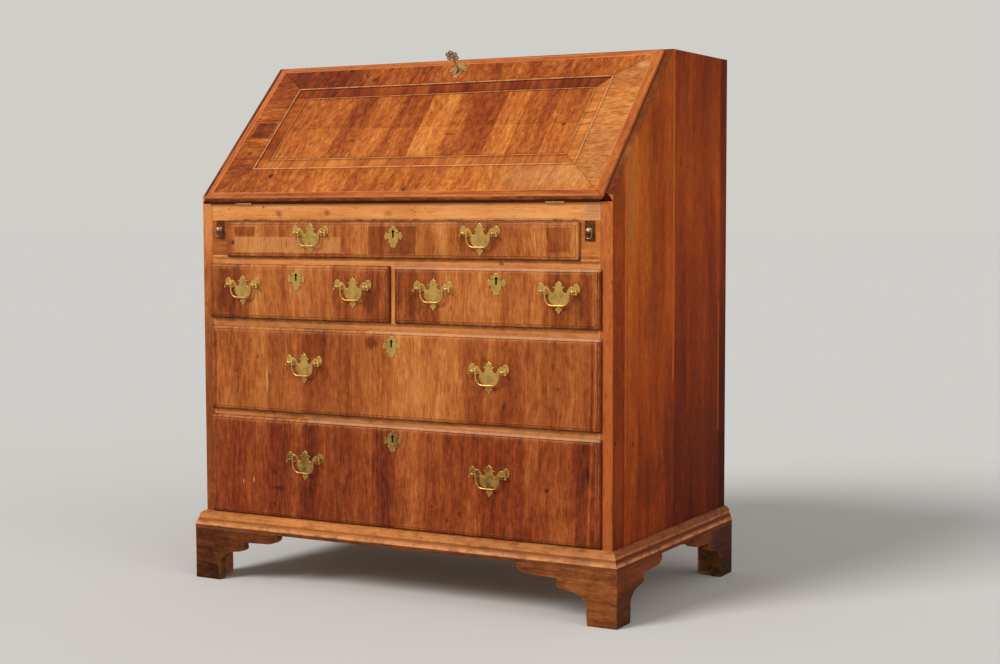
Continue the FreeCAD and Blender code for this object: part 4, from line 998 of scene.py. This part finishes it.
def plate(loop, thickness, ease, place, both=True, edge_wear_and_light=0.9):
    """A flat piece cut from an outline, its edges eased by rings that shrink as they rise.

    place turns (across, up, depth) arrays into positions; depth is zero at the face.
    """
    bends = np.radians([0, 30, 60, 85])
    rise = [(ease * (1 - math.cos(b)), ease * (1 - math.sin(b))) for b in bends]
    rise.append((ease * 1.35, 0))
    back = [(0, thickness)]
    if both:
        back = [(inset, thickness - depth) for inset, depth in rise[::-1]]
    rings, wear_and_light = [], []
    for inset, depth in back + rise:
        flat = inward(loop, inset)
        rings.append(place(flat[:, 0], flat[:, 1], np.full(len(flat), depth)))
        # The eased edge gets a raised value: wearing and a painted highlight on the rim.
        wear_and_light.append([edge_wear_and_light if inset < ease * 1.2 else 0])
    return loft(rings, np.array(wear_and_light))


print("a quarter turn in", len(curve((1, 0), [(math.sqrt(0.5), math.sqrt(0.5), 0, 1)])), "points")

# %% [markdown]
# ## Turned parts and wires
# Knobs and posts come off a lathe, so they are profiles spun about an axis. A bail is cast
# round, so it is a wire: circles carried along a flat path, thick or thin along the way.

# %% Turned parts and wires
def turned(profile, centre, axis, count=20):
    """A round piece: a profile of (radius, distance) spun about an axis."""
    axis = np.array(axis, float)
    side = np.cross(axis, (0.3, 0.5, 0.8))
    side /= np.linalg.norm(side)
    other = np.cross(axis, side)
    turn = np.linspace(0, 2 * math.pi, count, endpoint=False)
    circle = np.cos(turn)[:, None] * side + np.sin(turn)[:, None] * other
    rings = [np.array(centre) + distance * axis + radius * circle
             for radius, distance in profile]
    return loft(rings)


def wire(path, radii, normal, count=12):
    """A round wire along a flat path: circles in the plane of the path's normal and side."""
    path = np.asarray(path)
    run = np.gradient(path, axis=0)
    run /= np.linalg.norm(run, axis=1, keepdims=True)
    side = np.cross(run, normal)
    turn = np.linspace(0, 2 * math.pi, count, endpoint=False)
    circle = (np.cos(turn)[None, :, None] * side[:, None]
              + np.sin(turn)[None, :, None] * np.array(normal)[None, None])
    return loft(path[:, None] + np.reshape(radii, (-1, 1, 1)) * circle)


# %% [markdown]
# ## Rails and blocks
# Between the drawers run pale rails, jointed into the sides. Each is a board with eased
# edges. Where two boards meet, their eased edges leave the fine dark line that a real joint
# shows.

# %% Rails of the case
rail_depth = 0.022
rail_heights = [(0.639, 0.659), (0.515, 0.536), (0.335, 0.352), (0.117, 0.142)]
top_rail_heights = (0.728, 0.7617)
divider_x0, divider_x1 = -0.012, 0.0065


def rail(z0, z1, x0=-inner_half, x1=inner_half):
    """One board across the front, from its lower to its upper edge."""
    return block((x0, case_front, z0), (x1, case_front + rail_depth, z1))


divider = rail(rail_heights[1][1], rail_heights[0][0], divider_x0, divider_x1)
build("top_rail_board", "case", [[rail(*top_rail_heights)]], [rail_wood], ["top_rail"])
build("drawer_rail_boards", "case", [[rail(*heights) for heights in rail_heights], [divider]],
      [low_rail_wood, stile_wood], ["drawer_rails"])

# %% [markdown]
# ## Drawer fronts
# Each drawer front laps over its opening with a thumb-moulded lip, and inside the lip the
# veneered field stands a hair proud. It could be a box with a bevel, but a list of pairs of
# inset and depth, drawn as rings that shrink towards the middle, gives the lip, the little
# step and a field that is gently uneven, as hand-planed veneer is.

# %% Faces drawn in from an edge
top_gap, lip_cover = 0.0003, 0.0042


def face(width, height, profile, place, corner=0.0016, pitch=0.025):
    """Rings drawn in from a rectangle's edge: profile gives inset, height, wearing and painted
    light.
    """
    across_shares, up_shares = shares(width, pitch), shares(height, pitch)
    rings = []
    for inset, rise, _ in profile:
        loop = rectangle(width, height, inset, max(corner - inset, 0.0003),
                         across_shares, up_shares)
        rings.append(place(loop[:, 0], loop[:, 1], np.full(len(loop), rise)))
    return aged(loft(rings, np.array([[worn_and_lit] for _, _, worn_and_lit in profile])))


def towards_middle(height, rise, start=0.013, pitch=0.015):
    """The last rings of a face, evenly spaced until its middle."""
    return [(inset, rise, 0) for inset in np.arange(start, height / 2 - 0.003, pitch)]


def front_of(name):
    """A drawer front's low and high corners, and the height of the board behind its lip.

    The first drawer's board is as high as its lip. The others stop short of it.
    """
    low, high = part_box(name + "_front")
    board_top = high.z
    if name == "first_drawer":
        high.z -= top_gap
    else:
        board_top -= lip_cover
    return low, high, board_top


for name in field_woods:
    low, high, _ = front_of(name)
    print(name, "is", round(high.x - low.x, 3), "by", round(high.z - low.z, 3))

# %% Drawer fronts
field_rise, lip_radius = 0.0009, 0.0055
seat = case_front - 0.0003
lap_side, lap_below, lip_edge_reach = 0.0052, 0.0033, 0.004
# Top lips: above zero, wearing and a painted highlight; on the first drawer below zero, a painted
# shadow under the top rail.
top_wear_and_light = {"first_drawer": -0.5, "second_left_drawer": 0.2, "second_right_drawer": 0.2,
               "third_drawer": 0.45, "fourth_drawer": 0.45}


def lip_profile(height, depth):
    """A back edge, a quarter round lip, the step up to the field and the field itself."""
    root = -field_rise - lip_radius
    # Below zero on the lip's back edge and in the step: painted shade. Above zero on the lip's
    # crown and at the field's edge: wearing and painted highlight.
    profile = [(0, -depth, -0.8), (0, root, -0.4)]
    profile += [(lip_radius * (1 - math.cos(b)), root + lip_radius * math.sin(b),
                 -0.3 + 0.6 * math.sin(b) ** 2) for b in np.radians([0, 18, 36, 54, 72, 90])]
    profile += [(0.0064, -field_rise, -0.5), (0.0069, -field_rise * 0.9, -0.95),
                (0.0071, -0.0002, -0.1), (0.0075, 0, 0.3), (0.0095, 0, 0.1)]
    return profile + towards_middle(height, 0)


for name, top_change in top_wear_and_light.items():
    low, high, board_top = front_of(name)
    centre = (low + high) / 2
    points, quads, worn_and_lit = face(
        high.x - low.x, high.z - low.z, lip_profile(high.z - low.z, seat - low.y),
        lambda u, v, n: np.stack([centre.x + u, low.y - n, centre.z + v], -1))
    # The top lip takes its amount, the bottom lip a painted shadow, and both ends are a little
    # darker.
    above = np.exp(-(high.z - points[:, 2]) / lip_edge_reach)
    below = np.exp(-(points[:, 2] - low.z) / lip_edge_reach)
    ends = np.exp(-np.minimum(points[:, 0] - low.x, high.x - points[:, 0]) / lip_edge_reach)
    worn_and_lit = np.clip(worn_and_lit + top_change * above - 1.1 * below - 0.35 * ends, -1, 1)
    behind = block((low.x + lap_side, seat, low.z + lap_below),
                   (high.x - lap_side, high.y, board_top))
    build(name + "_veneer", name, [[(points, quads, worn_and_lit)], [behind]],
          [field_woods[name], lining_wood], [name + "_front"])

# %% [markdown]
# ## The lid
# The lid is a core board under a mitred, crossbanded frame with a rounded lip. A sunk
# moulding steps down to a veneered panel. Frame and moulding are the same kind of shape: a
# section carried along each side, whose ends lean over to meet the next side in a mitre.

# %% Lengths with mitred ends
lid_edge = (-0.442, -0.002, 0.442, 0.38764)
window = (-0.362, 0.079, 0.362, 0.31864)
sunk = (-0.331, 0.110, 0.331, 0.28764)
lid_core, lid_round, lid_panel = 0.0079, 0.0065, 0.0138


def on_lid(x, s, n):
    """From the lid's own frame, up its slope and outwards, to the desk's."""
    return np.stack([x + np.zeros_like(s), hinge_y + s * math.cos(slope) - n * math.sin(slope),
                     writing_height + s * math.sin(slope) + n * math.cos(slope)], -1)


def mitred(outer, inner, section, turn, gap=0.00015):
    """Four lengths between two rectangles.

    A point of the section is a distance in from the edge, a height, and a value of wearing
    and painted light. It starts where its distance in meets the mitre line: at 45 degrees for
    the stretch turn, then straight to the inner corner.
    """
    x0, s0, x1, s1 = outer
    u0, v0, u1, v1 = inner
    widths = [v0 - s0, x1 - u1, s1 - v1, u0 - x0]
    starts = [(x0, s0), (x1, s0), (x1, s1), (x0, s1)]
    runs = [(1, 0), (0, 1), (-1, 0), (0, -1)]
    spans = [x1 - x0, s1 - s0] * 2
    skins = []
    for k in range(4):
        run = np.array(runs[k])
        inwards = np.array([-run[1], run[0]])
        a, n, worn_and_lit = np.array(section(widths[k])).T
        first = np.interp(a, [0, turn, widths[k]], [0, turn, widths[k - 1]]) + gap
        last = np.interp(a, [0, turn, widths[k]], [0, turn, widths[(k + 1) % 4]]) + gap
        places = shares(spans[k])[:, None]
        t = first + places * (spans[k] - last - first)
        flat = np.array(starts[k]) + t[..., None] * run + a[None, :, None] * inwards
        heights = np.broadcast_to(n, t.shape)
        rings = on_lid(flat[..., 0], flat[..., 1], heights)
        joint = -0.45 * near_ends(places, spans[k], 0.0010)
        skins.append(aged(loft(rings, np.clip(worn_and_lit[None] + joint, -1, 1))))
    return skins


print("the lid is", round(lid_edge[3] - lid_edge[1], 3), "up the slope")

# %% Sections of the lid
def lipped(width):
    """The lip's section: rounded at the outer edge, with a pale line at its inner joint."""
    bends = np.radians([0, 18, 36, 54, 72, 90])
    # The lower part of the outer edge is painted shade.
    points = [(0, lid_core, -0.9), (0, 0.0090, -0.2)]
    points += [(lid_round * (1 - math.cos(b)), lid_face - lid_round * (1 - math.sin(b)),
                0.35 * math.sin(2 * b)) for b in bends]
    return points + [(0.009, lid_face, 0), (width - 0.0012, lid_face, 0),
                     (width - 0.0003, lid_face, 0.7), (width, lid_face - 0.0002, 0.5),
                     (width, lid_core, -1)]


def crossband(width):
    """The veneered strip inside the lip, flat to the window."""
    points = [(0, lid_core, -1), (0, lid_face - 0.0002, 0.5), (0.0003, lid_face, 0.6),
              (0.0012, lid_face, 0), (0.005, lid_face, 0)]
    points += [(a, lid_face, 0) for a in np.arange(0.018, width - 0.008, 0.013)]
    # Darker towards the window's edge, where the moulding steps down: painted shade.
    return points + [(width - 0.003, lid_face, -0.1), (width - 0.0004, lid_face, -0.6),
                     (width, lid_face - 0.0004, -0.8), (width, lid_core, -1)]


def sunk_section(width):
    """The moulding's section: a bead, a hollow slope and a small fillet."""
    bead = np.radians([180, 150, 120, 90, 60, 30, 0])
    points = [(0, lid_core, -1)]
    # The bead's crown and the fillet's top edge are painted highlights. The hollow beside the
    # bead, the foot of the slope and the fillet's foot are painted shade.
    points += [(0.0020 + 0.0020 * math.cos(b), 0.0166 + 0.0013 * math.sin(b),
                -0.3 + 1.3 * math.sin(b)) for b in bead]
    points += [(0.0042, 0.0160, -1), (0.0056, 0.0159, -0.9)]
    for share in (0.12, 0.3, 0.5, 0.75, 0.95):
        points.append((0.0035 + share * (width - 0.006), 0.0161 - 0.0023 * share
                       - 0.0007 * math.sin(math.pi * share), -0.5 if share > 0.9 else 0))
    return points + [(width - 0.0022, 0.0138, -0.8), (width - 0.0020, 0.0145, 0.6),
                     (width - 0.0004, 0.0145, 0.8), (width, 0.0142, -0.3), (width, lid_core, -1)]


print("a frame side 80 mm wide has", len(crossband(0.08)), "points")

# %% Lid frame, moulding and panel
lip = 0.0155
undercut = 0.0145
inner_edge = (lid_edge[0] + lip, lid_edge[1] + lip, lid_edge[2] - lip, lid_edge[3] - lip)
lip_sides = mitred(lid_edge, inner_edge, lipped, lid_round)
# Below undercut, the lower lip's rounded underside is painted shade.
points, quads, worn_and_lit = lip_sides[0]
above = ((points[:, 2] - writing_height) * math.cos(slope)
         - (points[:, 1] - hinge_y) * math.sin(slope))
lip_sides[0] = (points, quads, np.where(above < undercut, -0.75, worn_and_lit))
frame_sides = mitred(inner_edge, window, crossband, 0.001)
build("lid_frame", "fall", [lip_sides[::2], lip_sides[1::2]] + [[side] for side in frame_sides],
      [lid_woods[side] for side in ("lip", "lip_side", "bottom", "right", "top", "left")],
      ["fall_frame"])
build("lid_moulding", "fall", [[side] for side in mitred(window, sunk, sunk_section, 0.003)],
      [lid_woods["band_" + side] for side in ("bottom", "right", "top", "left")],
      ["fall_moulding"])
panel_width, panel_height = sunk[2] - sunk[0], sunk[3] - sunk[1]
# The panel's edge under the moulding is painted shade.
panel_profile = [(0, lid_core, -1), (0, lid_panel - 0.0002, -0.9), (0.0003, lid_panel, -0.7),
                 (0.003, lid_panel, -0.15), (0.008, lid_panel, 0)]
panel_middle = (sunk[1] + sunk[3]) / 2
build("lid_panel_veneer", "fall",
      [[face(panel_width, panel_height, panel_profile + towards_middle(panel_height, lid_panel),
             lambda u, v, n: on_lid(u, panel_middle + v, n), 0.0004)]],
      [lid_woods["panel"]], ["fall_panel"])

# %% [markdown]
# ## Base moulding and feet
# An ogee moulding runs round the base and is mitred at the front corners. The bracket feet
# under it are sawn boards: an outline of lines and arcs, cut out, with its edges worn.

# %% Base moulding
moulding_reach, foot_top, mitre_gap = 0.017, 0.103, 0.0001
# Above zero on the moulding's rounds and steps: painted highlight and wearing. Below zero in its
# hollow and at its top and bottom corners: painted shade.
base_profile = [(0, foot_top, -0.5), (0.0168, foot_top, 0), (moulding_reach, 0.1033, 0),
                (moulding_reach, 0.1092, 0), (moulding_reach, 0.1102, 0.6), (0.0168, 0.1112, 0.9)]
ogee = curve((0.01624, 0.11424), [(0.0136, 0.1191, 0.01292, 0.12234), (0.01122, 0.12315),
                                  (0.0085, 0.13341, 0.00238, 0.13692)], 9)
ogee_wear_and_light = np.interp(ogee[:, 1], [0.1142, 0.117, 0.1222, 0.1234, 0.130, 0.137],
                      [0.6, 0.1, -0.6, 0.7, 0.1, 0.3])
base_profile += [(*point, worn_and_lit) for point, worn_and_lit in zip(ogee, ogee_wear_and_light)]
base_profile += [(0.0012, 0.1378, 0.2), (0, 0.138, -0.6)]
out, up, worn_and_lit = np.array(base_profile).T


def length_of_base(start, run, outwards, span, far_mitre):
    """The profile carried along one side; its ends lean out by its own projection."""
    places = shares(span)[:, None]
    length = span + out * (2 if far_mitre else 1) - 2 * mitre_gap
    t = -out + mitre_gap + places * length
    spots = (np.array(start)[None, None] + t[..., None] * np.array(run)
             + out[None, :, None] * np.array(outwards))
    spots[..., 2] = up
    return aged(loft(spots, np.broadcast_to(worn_and_lit, t.shape)))


base_front = length_of_base((-half_width, case_front, 0), (1, 0, 0), (0, -1, 0), case_width, True)
base_sides = [length_of_base((side * half_width, case_front, 0), (0, 1, 0), (side, 0, 0),
                             case_back - case_front, False) for side in (-1, 1)]
build("base_ogee", "case", [[base_front], base_sides], [base_wood, base_side_wood],
      ["base_moulding"])

# %% Outline of a bracket foot
bracket_length, foot_board = 0.204, 0.020
foot_steps = [(0.290, 0), (0.300, 0.26), (0.330, 0.47, 0.440, 0.58), (0.530, 0.60),
              (0.578, 0.63, 0.588, 0.70), (0.588, 0.79), (0.900, 0.81),
              (0.972, 0.86, 0.985, 1.0), (0, 1.0)]
foot_outline = curve((0, 0), foot_steps, 9) * (bracket_length, foot_top)
corner_x, corner_y = half_width + moulding_reach, case_front - moulding_reach


def foot_board_skin(side, facing):
    """A bracket: mitred at the front corner, where its points give way with the depth."""
    def place(a, z, depth):
        if facing == "front":
            return np.stack([side * (corner_x - np.maximum(a, depth)), corner_y + depth, z], -1)
        if facing == "side":
            return np.stack([side * (corner_x - depth), corner_y + np.maximum(a, depth), z], -1)
        return np.stack([side * (corner_x - depth), case_back - a, z], -1)

    return aged(plate(foot_outline, foot_board, 0.0012, place, edge_wear_and_light=0.15))


print("a bracket has", len(foot_outline), "points")

# %% Bracket feet
block_size, block_lift = 0.034, 0.004
rear_bracket_width, rear_bracket_bottom = 0.093, 0.0515
inside = corner_x - foot_board


def foot_block(side, y0, y1, width, z0):
    """A board or glue block behind a foot's side bracket."""
    xs = sorted((side * (inside - width), side * inside))
    return block((xs[0], y0, z0), (xs[1], y1, foot_top))


front_y, back_y = corner_y + foot_board, case_back - foot_board
foot_faces = [foot_board_skin(side, "front") for side in (-1, 1)]
foot_sides = [foot_board_skin(side, "side") for side in (-1, 1)]
foot_sides += [foot_block(side, front_y, front_y + block_size, block_size, block_lift)
               for side in (-1, 1)]
back_feet = [foot_board_skin(side, "back") for side in (-1, 1)]
back_feet += [foot_block(side, back_y, case_back, rear_bracket_width, rear_bracket_bottom)
              for side in (-1, 1)]
back_feet += [foot_block(side, back_y - block_size, back_y, block_size, block_lift)
              for side in (-1, 1)]
build("front_bracket_feet", "case", [foot_faces, foot_sides], [foot_wood, foot_side_wood],
      ["front_feet"])
build("back_bracket_feet", "case", [back_feet], [foot_side_wood], ["back_feet"])

# %% [markdown]
# ## Brasses
# Each handle is a sawn and filed plate, two turned posts with nuts behind the drawer front,
# and a cast bail that swings between them. The outline is drawn once as a half with lines
# and arcs and mirrored. The plate is that loop with filed edges, the posts are profiles spun
# about an axis, and the bail is a wire that is thick in the middle and thin at its pins.

# %% Outlines of plates and escutcheons
plate_steps = [
    (0.074, -0.069), (0.150, -0.107, 0.140, -0.161), (0.285, -0.190), (0.262, -0.225),
    (0.180, -0.250, 0.205, -0.310), (0.275, -0.368, 0.390, -0.310),
    (0.480, -0.215, 0.590, -0.165), (0.660, -0.192), (0.800, -0.085, 0.985, -0.215),
    (0.985, -0.300, 0.900, -0.365), (0.780, -0.400), (0.640, -0.430, 0.530, -0.395),
    (0.455, -0.415), (0.495, -0.470, 0.470, -0.545), (0.400, -0.650, 0.250, -0.712),
    (0.140, -0.740, 0.070, -0.752), (0.060, -0.790), (0.135, -0.812),
    (0.165, -0.842, 0.085, -0.866), (0.095, -0.905), (0.0, -1.0)]
badge_steps = [
    (0.225, -0.03, 0.325, -0.12), (0.525, -0.138), (0.44, -0.215),
    (0.60, -0.26, 0.67, -0.30), (0.93, -0.34, 1.0, -0.45), (0.94, -0.588, 0.70, -0.61),
    (0.525, -0.625, 0.50, -0.70), (0.55, -0.775), (0.375, -0.805),
    (0.31, -0.94, 0.0, -1.0)]


def mirrored_loop(steps, half, height, count):
    """A half outline from its top tip to its bottom tip, and back up the other side."""
    side = curve((0, 0), steps, count)
    return np.vstack([side, side[-2:0:-1] * (-1, 1)]) * (half, height)


plate_half, plate_height, plate_depth = 0.043, 0.061, 0.002
badge_half, badge_height, badge_depth = 0.020, 0.040, 0.0016
plate_loop = mirrored_loop(plate_steps, plate_half, plate_height, 7)
badge_loop = mirrored_loop(badge_steps, badge_half, badge_height, 9)
print("outlines of", len(plate_loop), "and", len(badge_loop), "points")

# %% Escutcheons
keyhole_radius, slit_half, slit_length, eye_drop = 0.0026, 0.0018, 0.011, 0.010
pin_places = [(0.0096, 0.0060), (0.0092, 0.0302)]


def badge(place, eye):
    """An escutcheon: rings from its outline to a keyhole of the same angles, and four pins.

    The keyhole is the farther of a circle and a slot that hangs from it.
    """
    outline = badge_loop + (0, eye)
    ray = outline / np.linalg.norm(outline, axis=1, keepdims=True)
    down = np.maximum(-ray[:, 1], 0.001)
    slot_reach = np.minimum(slit_length / down, slit_half / np.abs(ray[:, 0]).clip(0.0001))
    hole = np.where(ray[:, 1] < 0, np.maximum(keyhole_radius, slot_reach), keyhole_radius)
    hole = hole[:, None] * ray
    rim = hole + ray * 0.0004

    def skin(*steps, caps):
        return loft([place(loop[:, 0], loop[:, 1], np.full(len(loop), depth))
                     for loop, depth in steps], 0.0, caps)

    metal_part = skin((rim, badge_depth), (outline, badge_depth), (outline, 0.0006),
                      (inward(outline, 0.0002), 0.0002), (inward(outline, 0.0006), 0),
                      (inward(outline, 0.0009), 0), (rim, 0), (rim, badge_depth), caps=False)
    wall = skin((rim, badge_depth), (rim, 0.0001), (hole, 0.0002), (hole, badge_depth),
                (rim, badge_depth), caps=False)
    # The keyhole's floor is a dark disc at the wood's face: painted shade of the hole behind.
    floor_of_hole = skin((hole, badge_depth), (hole, badge_depth - 0.0003), caps=True)
    outwards = (place(*np.array([[0.0], [0.0], [-1.0]])) - place(*np.zeros((3, 1))))[0]
    dome = np.radians(np.linspace(0, 88, 6))
    pins = [turned([(0.0012 * math.cos(b), 0.0007 * math.sin(b)) for b in dome],
                   place(*np.array([[side * across], [eye - down], [0.0]]))[0], outwards, 10)
            for side in (-1, 1) for across, down in pin_places]
    return [metal_part] + pins, [wall, floor_of_hole]


print("a keyhole hangs", round(1000 * slit_length, 1), "mm below its eye")

# %% Posts and bails
post_half, post_reach, post_radius = 0.0312, 0.0065, 0.0043
nut_half, nut_thickness, front_board = 0.0045, 0.003, 0.023
bail_half, bail_low, bail_sweep, bail_turn, bail_tail = 0.0246, -0.026, 0.015, 0.0024, 0.003
bail_radius, tip_radius, pin_play = 0.0016, 0.0021, 0.0008


def post(x, z, face_y):
    """A turned post with its shank and square nut."""
    head = np.radians(np.linspace(-56, 88, 9))
    profile = [(0.002, -0.0279), (0.002, 0), (post_radius, 0), (post_radius, 0.0005),
               (0.0034, 0.0011), (0.0026, 0.0019), (0.0024, 0.0028)]
    profile += [(post_radius * math.cos(b), post_reach + post_radius * math.sin(b)) for b in head]
    nut_y = face_y + front_board
    return [turned(profile, (x, face_y - plate_depth, z), (0, -1, 0)),
            block((x - nut_half, nut_y, z - nut_half),
                  (x + nut_half, nut_y + nut_thickness, z + nut_half), 0.0004)]


bail_pin = post_half + post_radius + pin_play
bow = bail_turn * (1 - math.sqrt(0.5))
dip = bail_sweep * (1 - math.sqrt(0.5))
bail_right = [(bail_half - bail_sweep, bail_low),
              (bail_half - dip, bail_low + dip, bail_half, bail_low + bail_sweep),
              (bail_half, -bail_turn), (bail_half + bow, -bow, bail_half + bail_turn, 0),
              (bail_pin, 0), (bail_pin + bail_turn - bow, -bow, bail_pin + bail_turn, -bail_turn),
              (bail_pin + bail_turn, -bail_turn - bail_tail)]
half_path = curve((0, bail_low), bail_right, 9)
bail_path = np.vstack([half_path[:0:-1] * (-1, 1), half_path])
bail_size = np.interp(np.abs(bail_path[:, 0]), [0, 0.009, 0.0243, 0.0272],
                      [0.0021, 0.0019, 0.0014, 0.0012])


def bail(x, y, z):
    """The swinging handle with a small ball on each hanging tip."""
    path = np.stack([x + bail_path[:, 0], np.full(len(bail_path), y), z + bail_path[:, 1]], -1)
    ball = np.radians(np.linspace(-88, 88, 9))
    tips = [turned([(tip_radius * math.cos(b), tip_radius * math.sin(b)) for b in ball], end,
                   (0, 0, 1), 12) for end in (path[0], path[-1])]
    return [wire(path, bail_size, (0, 1, 0))] + tips


print("a bail spans", round(2000 * bail_path[:, 0].max(), 1), "mm")

# %% Handles and locks of the drawers
post_drop = 0.019
filed_edge, outline_reach, outline_depth = 0.0005, 0.0012, 0.0003
lock_half, lock_height, lock_sunk, lock_proud = 0.028, 0.034, 0.0076, 0.0004
locks = {"first_drawer": (0.008, 0.009), "second_left_drawer": (-0.513, 0.010),
         "second_right_drawer": (0.522, 0.010), "third_drawer": (-0.005, 0.009),
         "fourth_drawer": (-0.002, 0.011)}


def on_front(x, y, z):
    """Turns (across, up, depth) from a place on a drawer's front into the desk's positions."""
    return lambda u, v, d: np.stack([x + u, y + d, z + v], -1)


for name, (share, drop) in locks.items():
    low, high, lock_top = front_of(name)
    metalwork, darkness = [], []
    for hand in ("left", "right"):
        bail_box_low, bail_box_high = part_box(f"{name}_{hand}_bail")
        x = (bail_box_low.x + bail_box_high.x) / 2
        z = bail_box_high.z - bail_radius
        metalwork.append(plate(plate_loop, plate_depth, filed_edge,
                               on_front(x, low.y - plate_depth, z + post_drop), both=False))
        # A thin dark outline round each plate.
        darkness.append(plate(inward(plate_loop, -outline_reach), outline_depth, outline_depth / 2,
                              on_front(x, low.y - outline_depth, z + post_drop), both=False))
        for side in (-1, 1):
            metalwork += post(x + side * post_half, z, low.y)
        build(f"{name}_{hand}_handle", f"{name}_{hand}_bail_swing",
              [bail(x, low.y - plate_depth - post_reach, z)], [bail_brass],
              [f"{name}_{hand}_bail"], 50)
    lock_x = share * inner_half
    pieces, hole = badge(on_front(lock_x, low.y - badge_depth, high.z - drop - eye_drop), eye_drop)
    metalwork += pieces
    darkness += hole
    darkness.append(block((lock_x - lock_half, high.y - lock_sunk, lock_top - lock_height),
                          (lock_x + lock_half, high.y + lock_proud, lock_top + 0.0002), 0.0004))
    build(name + "_fittings", name, [metalwork, darkness], [brass, shadow],
          [name + "_brasses"], 50)

# %% Escutcheon of the lid
lid_lock_share, lid_badge_top, lid_eye_drop = 0.0185, 0.354116, 0.020
lid_lock_x = lid_lock_share * inner_half
pieces, hole = badge(lambda u, v, d: on_lid(lid_lock_x + u, lid_badge_top + v,
                                            lid_face + badge_depth - d), lid_eye_drop)
build("lid_badge", "fall", [pieces, hole], [dull_brass, shadow], ["fall_escutcheon"], 50)

# %% [markdown]
# ## Finishes on the frame's own pieces
# Each node of the frame takes its finish by name. Real arrises are never razor sharp, so on
# the two sides a Weld modifier joins the loose triangles of the solid and a Bevel modifier
# eases the edges.

# %% Dress the nodes
finishes = {
    "right_side": side_wood, "left_side": side_wood, "top_board": top_wood,
    "bottom_board": lining_wood, "writing_board": top_wood, "back_boards": back_wood,
    "dust_boards": lining_wood, "case_fixings": fixing_wood, "loper_housings": housing_wood,
    "case_hinge_leaves": dull_brass, "fall_hinge_leaves": dull_brass,
    "fall_core": lid_woods["core"], "fall_lock": iron, "fall_bolt": iron,
    "fall_key": key_metal, "gallery": gallery_wood,
}
endings = {"_loper": loper_wood, "_loper_knob": pale_brass, "_loper_ring": ring_metal,
           "_box": lining_wood, "_small_drawer": gallery_wood}
for name in nodes:
    for ending, finish in endings.items():
        if name.endswith(ending) and name not in finishes:
            finishes[name] = finish
for name, finish in finishes.items():
    skin = nodes[name]
    if len(skin.material_slots) == 0:
        skin.data.materials.append(finish)
    for slot in skin.material_slots:
        slot.material = finish
print("dressed", len(finishes), "of", len(nodes), "nodes")

# %% Ease the edges of the sides
arris_width, arris_steps, sharp_angle = 0.0009, 3, 35
weld_distance = 0.00001
for name in ("right_side", "left_side"):
    skin = nodes[name]
    skin.modifiers.new("joined", "WELD").merge_threshold = weld_distance
    bevel = skin.modifiers.new("eased", "BEVEL")
    bevel.width = arris_width
    bevel.segments = arris_steps
    bevel.limit_method = "ANGLE"
    bevel.angle_limit = math.radians(sharp_angle)
    bevel.use_clamp_overlap = False
    print(name, "has", [modifier.name for modifier in skin.modifiers])

# %% [markdown]
# ## The floor
# The floor is a wide plain sheet just under the feet. It is dull and pale, so that the desk's
# shadow lies softly on it.

# %% Floor
floor_reach = 60.0
floor_mesh = bpy.data.meshes.new("studio_floor")
floor_mesh.from_pydata([(-floor_reach, -floor_reach, 0), (floor_reach, -floor_reach, 0),
                        (floor_reach, floor_reach, 0), (-floor_reach, floor_reach, 0)],
                       [], [(0, 1, 2, 3)])
floor = bpy.data.objects.new("studio_floor", floor_mesh)
scene.collection.objects.link(floor)
pale, pale_tree, pale_shader, _ = new_material("pale_floor")
put(pale_tree, pale_shader, "Base Color", tint(220, 218, 214))
put(pale_tree, pale_shader, "Roughness", 1.0)
put(pale_tree, pale_shader, "Specular IOR Level", 0.0)
floor_mesh.materials.append(pale)
print("floor reaches", floor_reach, "m each way")
